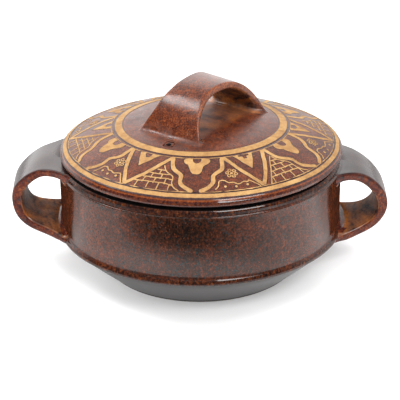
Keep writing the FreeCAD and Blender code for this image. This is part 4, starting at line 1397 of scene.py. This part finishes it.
f_shadow_ring = fm.math("MULTIPLY", f_shadow_ring, fm.range(f_sep.outputs[1], -0.02, -0.06, 0.0, 0.85, True))
f_shadow_ring = fm.math("MULTIPLY", f_shadow_ring, fm.range(fm.math("ABSOLUTE", f_sep.outputs[0]), 0.072, 0.010, 0.0, 1.0, True))
fm.put(fm.bsdf.inputs["Base Color"], fm.mix(f_shadow_ring, f_col, (0.50, 0.50, 0.50)))
fm.bsdf.inputs["Roughness"].default_value = 0.9
fm.bsdf.inputs["Specular IOR Level"].default_value = 0.1
# lit a little from below, as a light table is
fm.bsdf.inputs["Emission Color"].default_value = (1, 1, 1, 1)
fm.bsdf.inputs["Emission Strength"].default_value = 0.19
me = bpy.data.meshes.new("floor")
S = 6.0
me.from_pydata([(-S, -S, 0), (S, -S, 0), (S, S, 0), (-S, S, 0)], [], [(0, 1, 2, 3)])
me.materials.append(fm.mat)
floor = bpy.data.objects.new("floor", me)
scene.collection.objects.link(floor)

world = bpy.data.worlds.new("studio")
scene.world = world
world.use_nodes = True
wt = world.node_tree
wt.nodes.clear()
wo = wt.nodes.new("ShaderNodeOutputWorld")
bg = wt.nodes.new("ShaderNodeBackground")
wt.links.new(bg.outputs[0], wo.inputs[0])
tc = wt.nodes.new("ShaderNodeTexCoord")
sx = wt.nodes.new("ShaderNodeSeparateXYZ")
wt.links.new(tc.outputs["Generated"], sx.inputs[0])


def wmath(op, a, b=0.0):
    n = wt.nodes.new("ShaderNodeMath")
    n.operation = op
    for k, v in enumerate((a, b)):
        if isinstance(v, bpy.types.NodeSocket):
            wt.links.new(v, n.inputs[k])
        else:
            n.inputs[k].default_value = v
    return n.outputs[0]


def wrange(v, a, b, c, d):
    n = wt.nodes.new("ShaderNodeMapRange")
    n.interpolation_type = "SMOOTHSTEP"
    wt.links.new(v, n.inputs["Value"])
    for key, val in (("From Min", a), ("From Max", b), ("To Min", c), ("To Max", d)):
        n.inputs[key].default_value = val
    return n.outputs["Result"]


# bright behind and to the right, dark in front and front left, dim ceiling
lean = wmath("ADD", sx.outputs[1], wmath("MULTIPLY", sx.outputs[0], 0.25))
back = wrange(lean, -0.25, 0.35, 0.0, 1.0)
low = wrange(sx.outputs[2], 0.80, 0.52, 0.0, 1.0)
side_dim = wrange(sx.outputs[0], 0.02, 0.42, 0.0, 0.5)
behind = wmath("MULTIPLY", wmath("MULTIPLY", back, wmath("SUBTRACT", 1.0, side_dim)), 1.35)
front = wmath("MULTIPLY", wmath("SUBTRACT", 1.0, back), -0.46)
# soft band of light high in front
band = wmath("MULTIPLY", wrange(sx.outputs[2], 0.66, 0.76, 0.0, 1.0), wrange(sx.outputs[2], 0.985, 0.93, 0.0, 1.0))
band = wmath("MULTIPLY", band, wmath("MULTIPLY", wmath("SUBTRACT", 1.0, back), 0.55))
level = wmath("ADD", wmath("ADD", 0.50, band), wmath("MULTIPLY", low, wmath("ADD", behind, front)))
wt.links.new(level, bg.inputs["Strength"])
bg.inputs["Color"].default_value = (1.0, 1.0, 1.0, 1.0)


def area_light(name, loc, target, size, power, colour=(1, 1, 1)):
    ld = bpy.data.lights.new(name, "AREA")
    ld.shape = "RECTANGLE"
    ld.size, ld.size_y = size
    ld.energy = power
    ld.color = colour
    ob = bpy.data.objects.new(name, ld)
    ob.location = loc
    ob.rotation_mode = "QUATERNION"
    ob.rotation_quaternion = (Vector(target) - Vector(loc)).to_track_quat("-Z", "Y")
    scene.collection.objects.link(ob)
    return ob


def radiance_power(L, size):
    """Watts of an area light that shows a radiance of L."""
    return L * math.pi * size[0] * size[1]


def direction(azimuth, elevation, dist, aim):
    """Place seen from aim: azimuth from the back towards +X, elevation above the floor, both in degrees."""
    a, e = math.radians(azimuth), math.radians(elevation)
    return (aim[0] + dist * math.sin(a) * math.cos(e), aim[1] + dist * math.cos(a) * math.cos(e), aim[2] + dist * math.sin(e))


aim = (0, 0, 0.12)
area_light("left_box", direction(-73, 49, 1.3, aim), aim, (0.52, 0.30), radiance_power(7.5, (0.52, 0.30)))
area_light("right_front_box", direction(146, 42, 1.3, aim), aim, (0.78, 0.36), radiance_power(10.5, (0.78, 0.36)))
# soft fill that lights the floor and the body of the glaze only
for name, place, size, L in (("top_fill", direction(0, 89, 1.9, aim), (2.2, 2.2), 2.0), ("left_fill", direction(-125, 28, 1.7, aim), (1.4, 1.0), 5.6),
                             ("right_fill", direction(115, 28, 1.7, aim), (1.4, 1.0), 2.7)):
    ob = area_light(name, place, aim, size, radiance_power(L, size))
    ob.visible_glossy = False

# a dark flag with soft edges in front, seen in the glaze only
fl = bpy.data.materials.new("flag_dark")
fl.use_nodes = True
ft = fl.node_tree
ft.nodes.clear()


def fnode(kind, *ins):
    n = ft.nodes.new(kind)
    for k, v in enumerate(ins):
        if isinstance(v, bpy.types.NodeSocket):
            ft.links.new(v, n.inputs[k])
        elif v is not None:
            n.inputs[k].default_value = v
    return n


def fmath(op, a, b=0.0):
    n = fnode("ShaderNodeMath", a, b)
    n.operation = op
    return n.outputs[0]


def frange(v, a, b, c, d):
    n = fnode("ShaderNodeMapRange", v, a, b, c, d)
    n.interpolation_type = "SMOOTHSTEP"
    return n.outputs[0]


f_xyz = fnode("ShaderNodeSeparateXYZ", fnode("ShaderNodeTexCoord").outputs["Object"])
f_x, f_y = fmath("ADD", f_xyz.outputs[0], 0.012), f_xyz.outputs[1]
f_r = fmath("SQRT", fmath("ADD", fmath("MULTIPLY", f_x, f_x), fmath("MULTIPLY", f_y, f_y)))
f_side = fmath("ABSOLUTE", fmath("ADD", fmath("DIVIDE", f_x, fmath("MAXIMUM", fmath("MULTIPLY", f_y, -1.0), 0.001)), 0.27))
mask = fmath("MULTIPLY", frange(f_r, 0.176, 0.238, 0.0, 1.0), frange(f_side, 1.75, 0.22, 0.0, 1.0))
# thinner beside and behind the handles, and left of the foot
f_out = fmath("ABSOLUTE", f_xyz.outputs[0])
mask = fmath("MAXIMUM", mask, fmath("MULTIPLY", frange(f_out, 0.118, 0.165, 0.0, 1.0), frange(f_y, -0.04, 0.02, 0.0, 0.62)))
mask = fmath("MAXIMUM", mask, fmath("MULTIPLY", frange(f_x, 0.0, -0.07, 0.0, 0.36), frange(f_r, 0.15, 0.11, 0.0, 1.0)))
mask = fmath("MAXIMUM", mask, frange(f_x, -0.10, -0.16, 0.0, 0.32))
dark = fnode("ShaderNodeEmission")
dark.inputs["Color"].default_value = (0.008, 0.008, 0.008, 1)
blend = fnode("ShaderNodeMixShader", mask, fnode("ShaderNodeBsdfTransparent").outputs[0], dark.outputs[0])
fnode("ShaderNodeOutputMaterial", blend.outputs[0])
me = bpy.data.meshes.new("flag")
me.from_pydata([(-0.9, 1.2, 0.001), (0.9, 1.2, 0.001), (0.9, -1.8, 0.001), (-0.9, -1.8, 0.001)], [], [(0, 1, 2, 3)])
me.materials.append(fl)
flag = bpy.data.objects.new("flag", me)
scene.collection.objects.link(flag)
flag.visible_camera = False
flag.visible_diffuse = False
flag.visible_shadow = False
flag.visible_transmission = False
flag.visible_volume_scatter = False

cam_data = bpy.data.cameras.new("camera")
cam_data.sensor_width = 36.0
cam_data.lens = 114.48
cam_data.clip_start = 0.05
cam_data.clip_end = 50
cam = bpy.data.objects.new("camera", cam_data)
right_v = Vector((0.9999255147, -0.0047064328, -0.0112611942))
up_v = Vector((0.0121973959, 0.4181630297, 0.9082900991))
fwd_v = Vector((-0.0004342088, 0.9083598021, -0.4181892890))
rot = Matrix((right_v, up_v, -fwd_v)).transposed().to_4x4()
cam.matrix_world = Matrix.Translation((0.0, -0.8782162, 0.4517655)) @ rot
scene.collection.objects.link(cam)
scene.camera = cam
scene.view_settings.view_transform = "Standard"
scene.view_settings.look = "None"

bpy.context.view_layer.update()
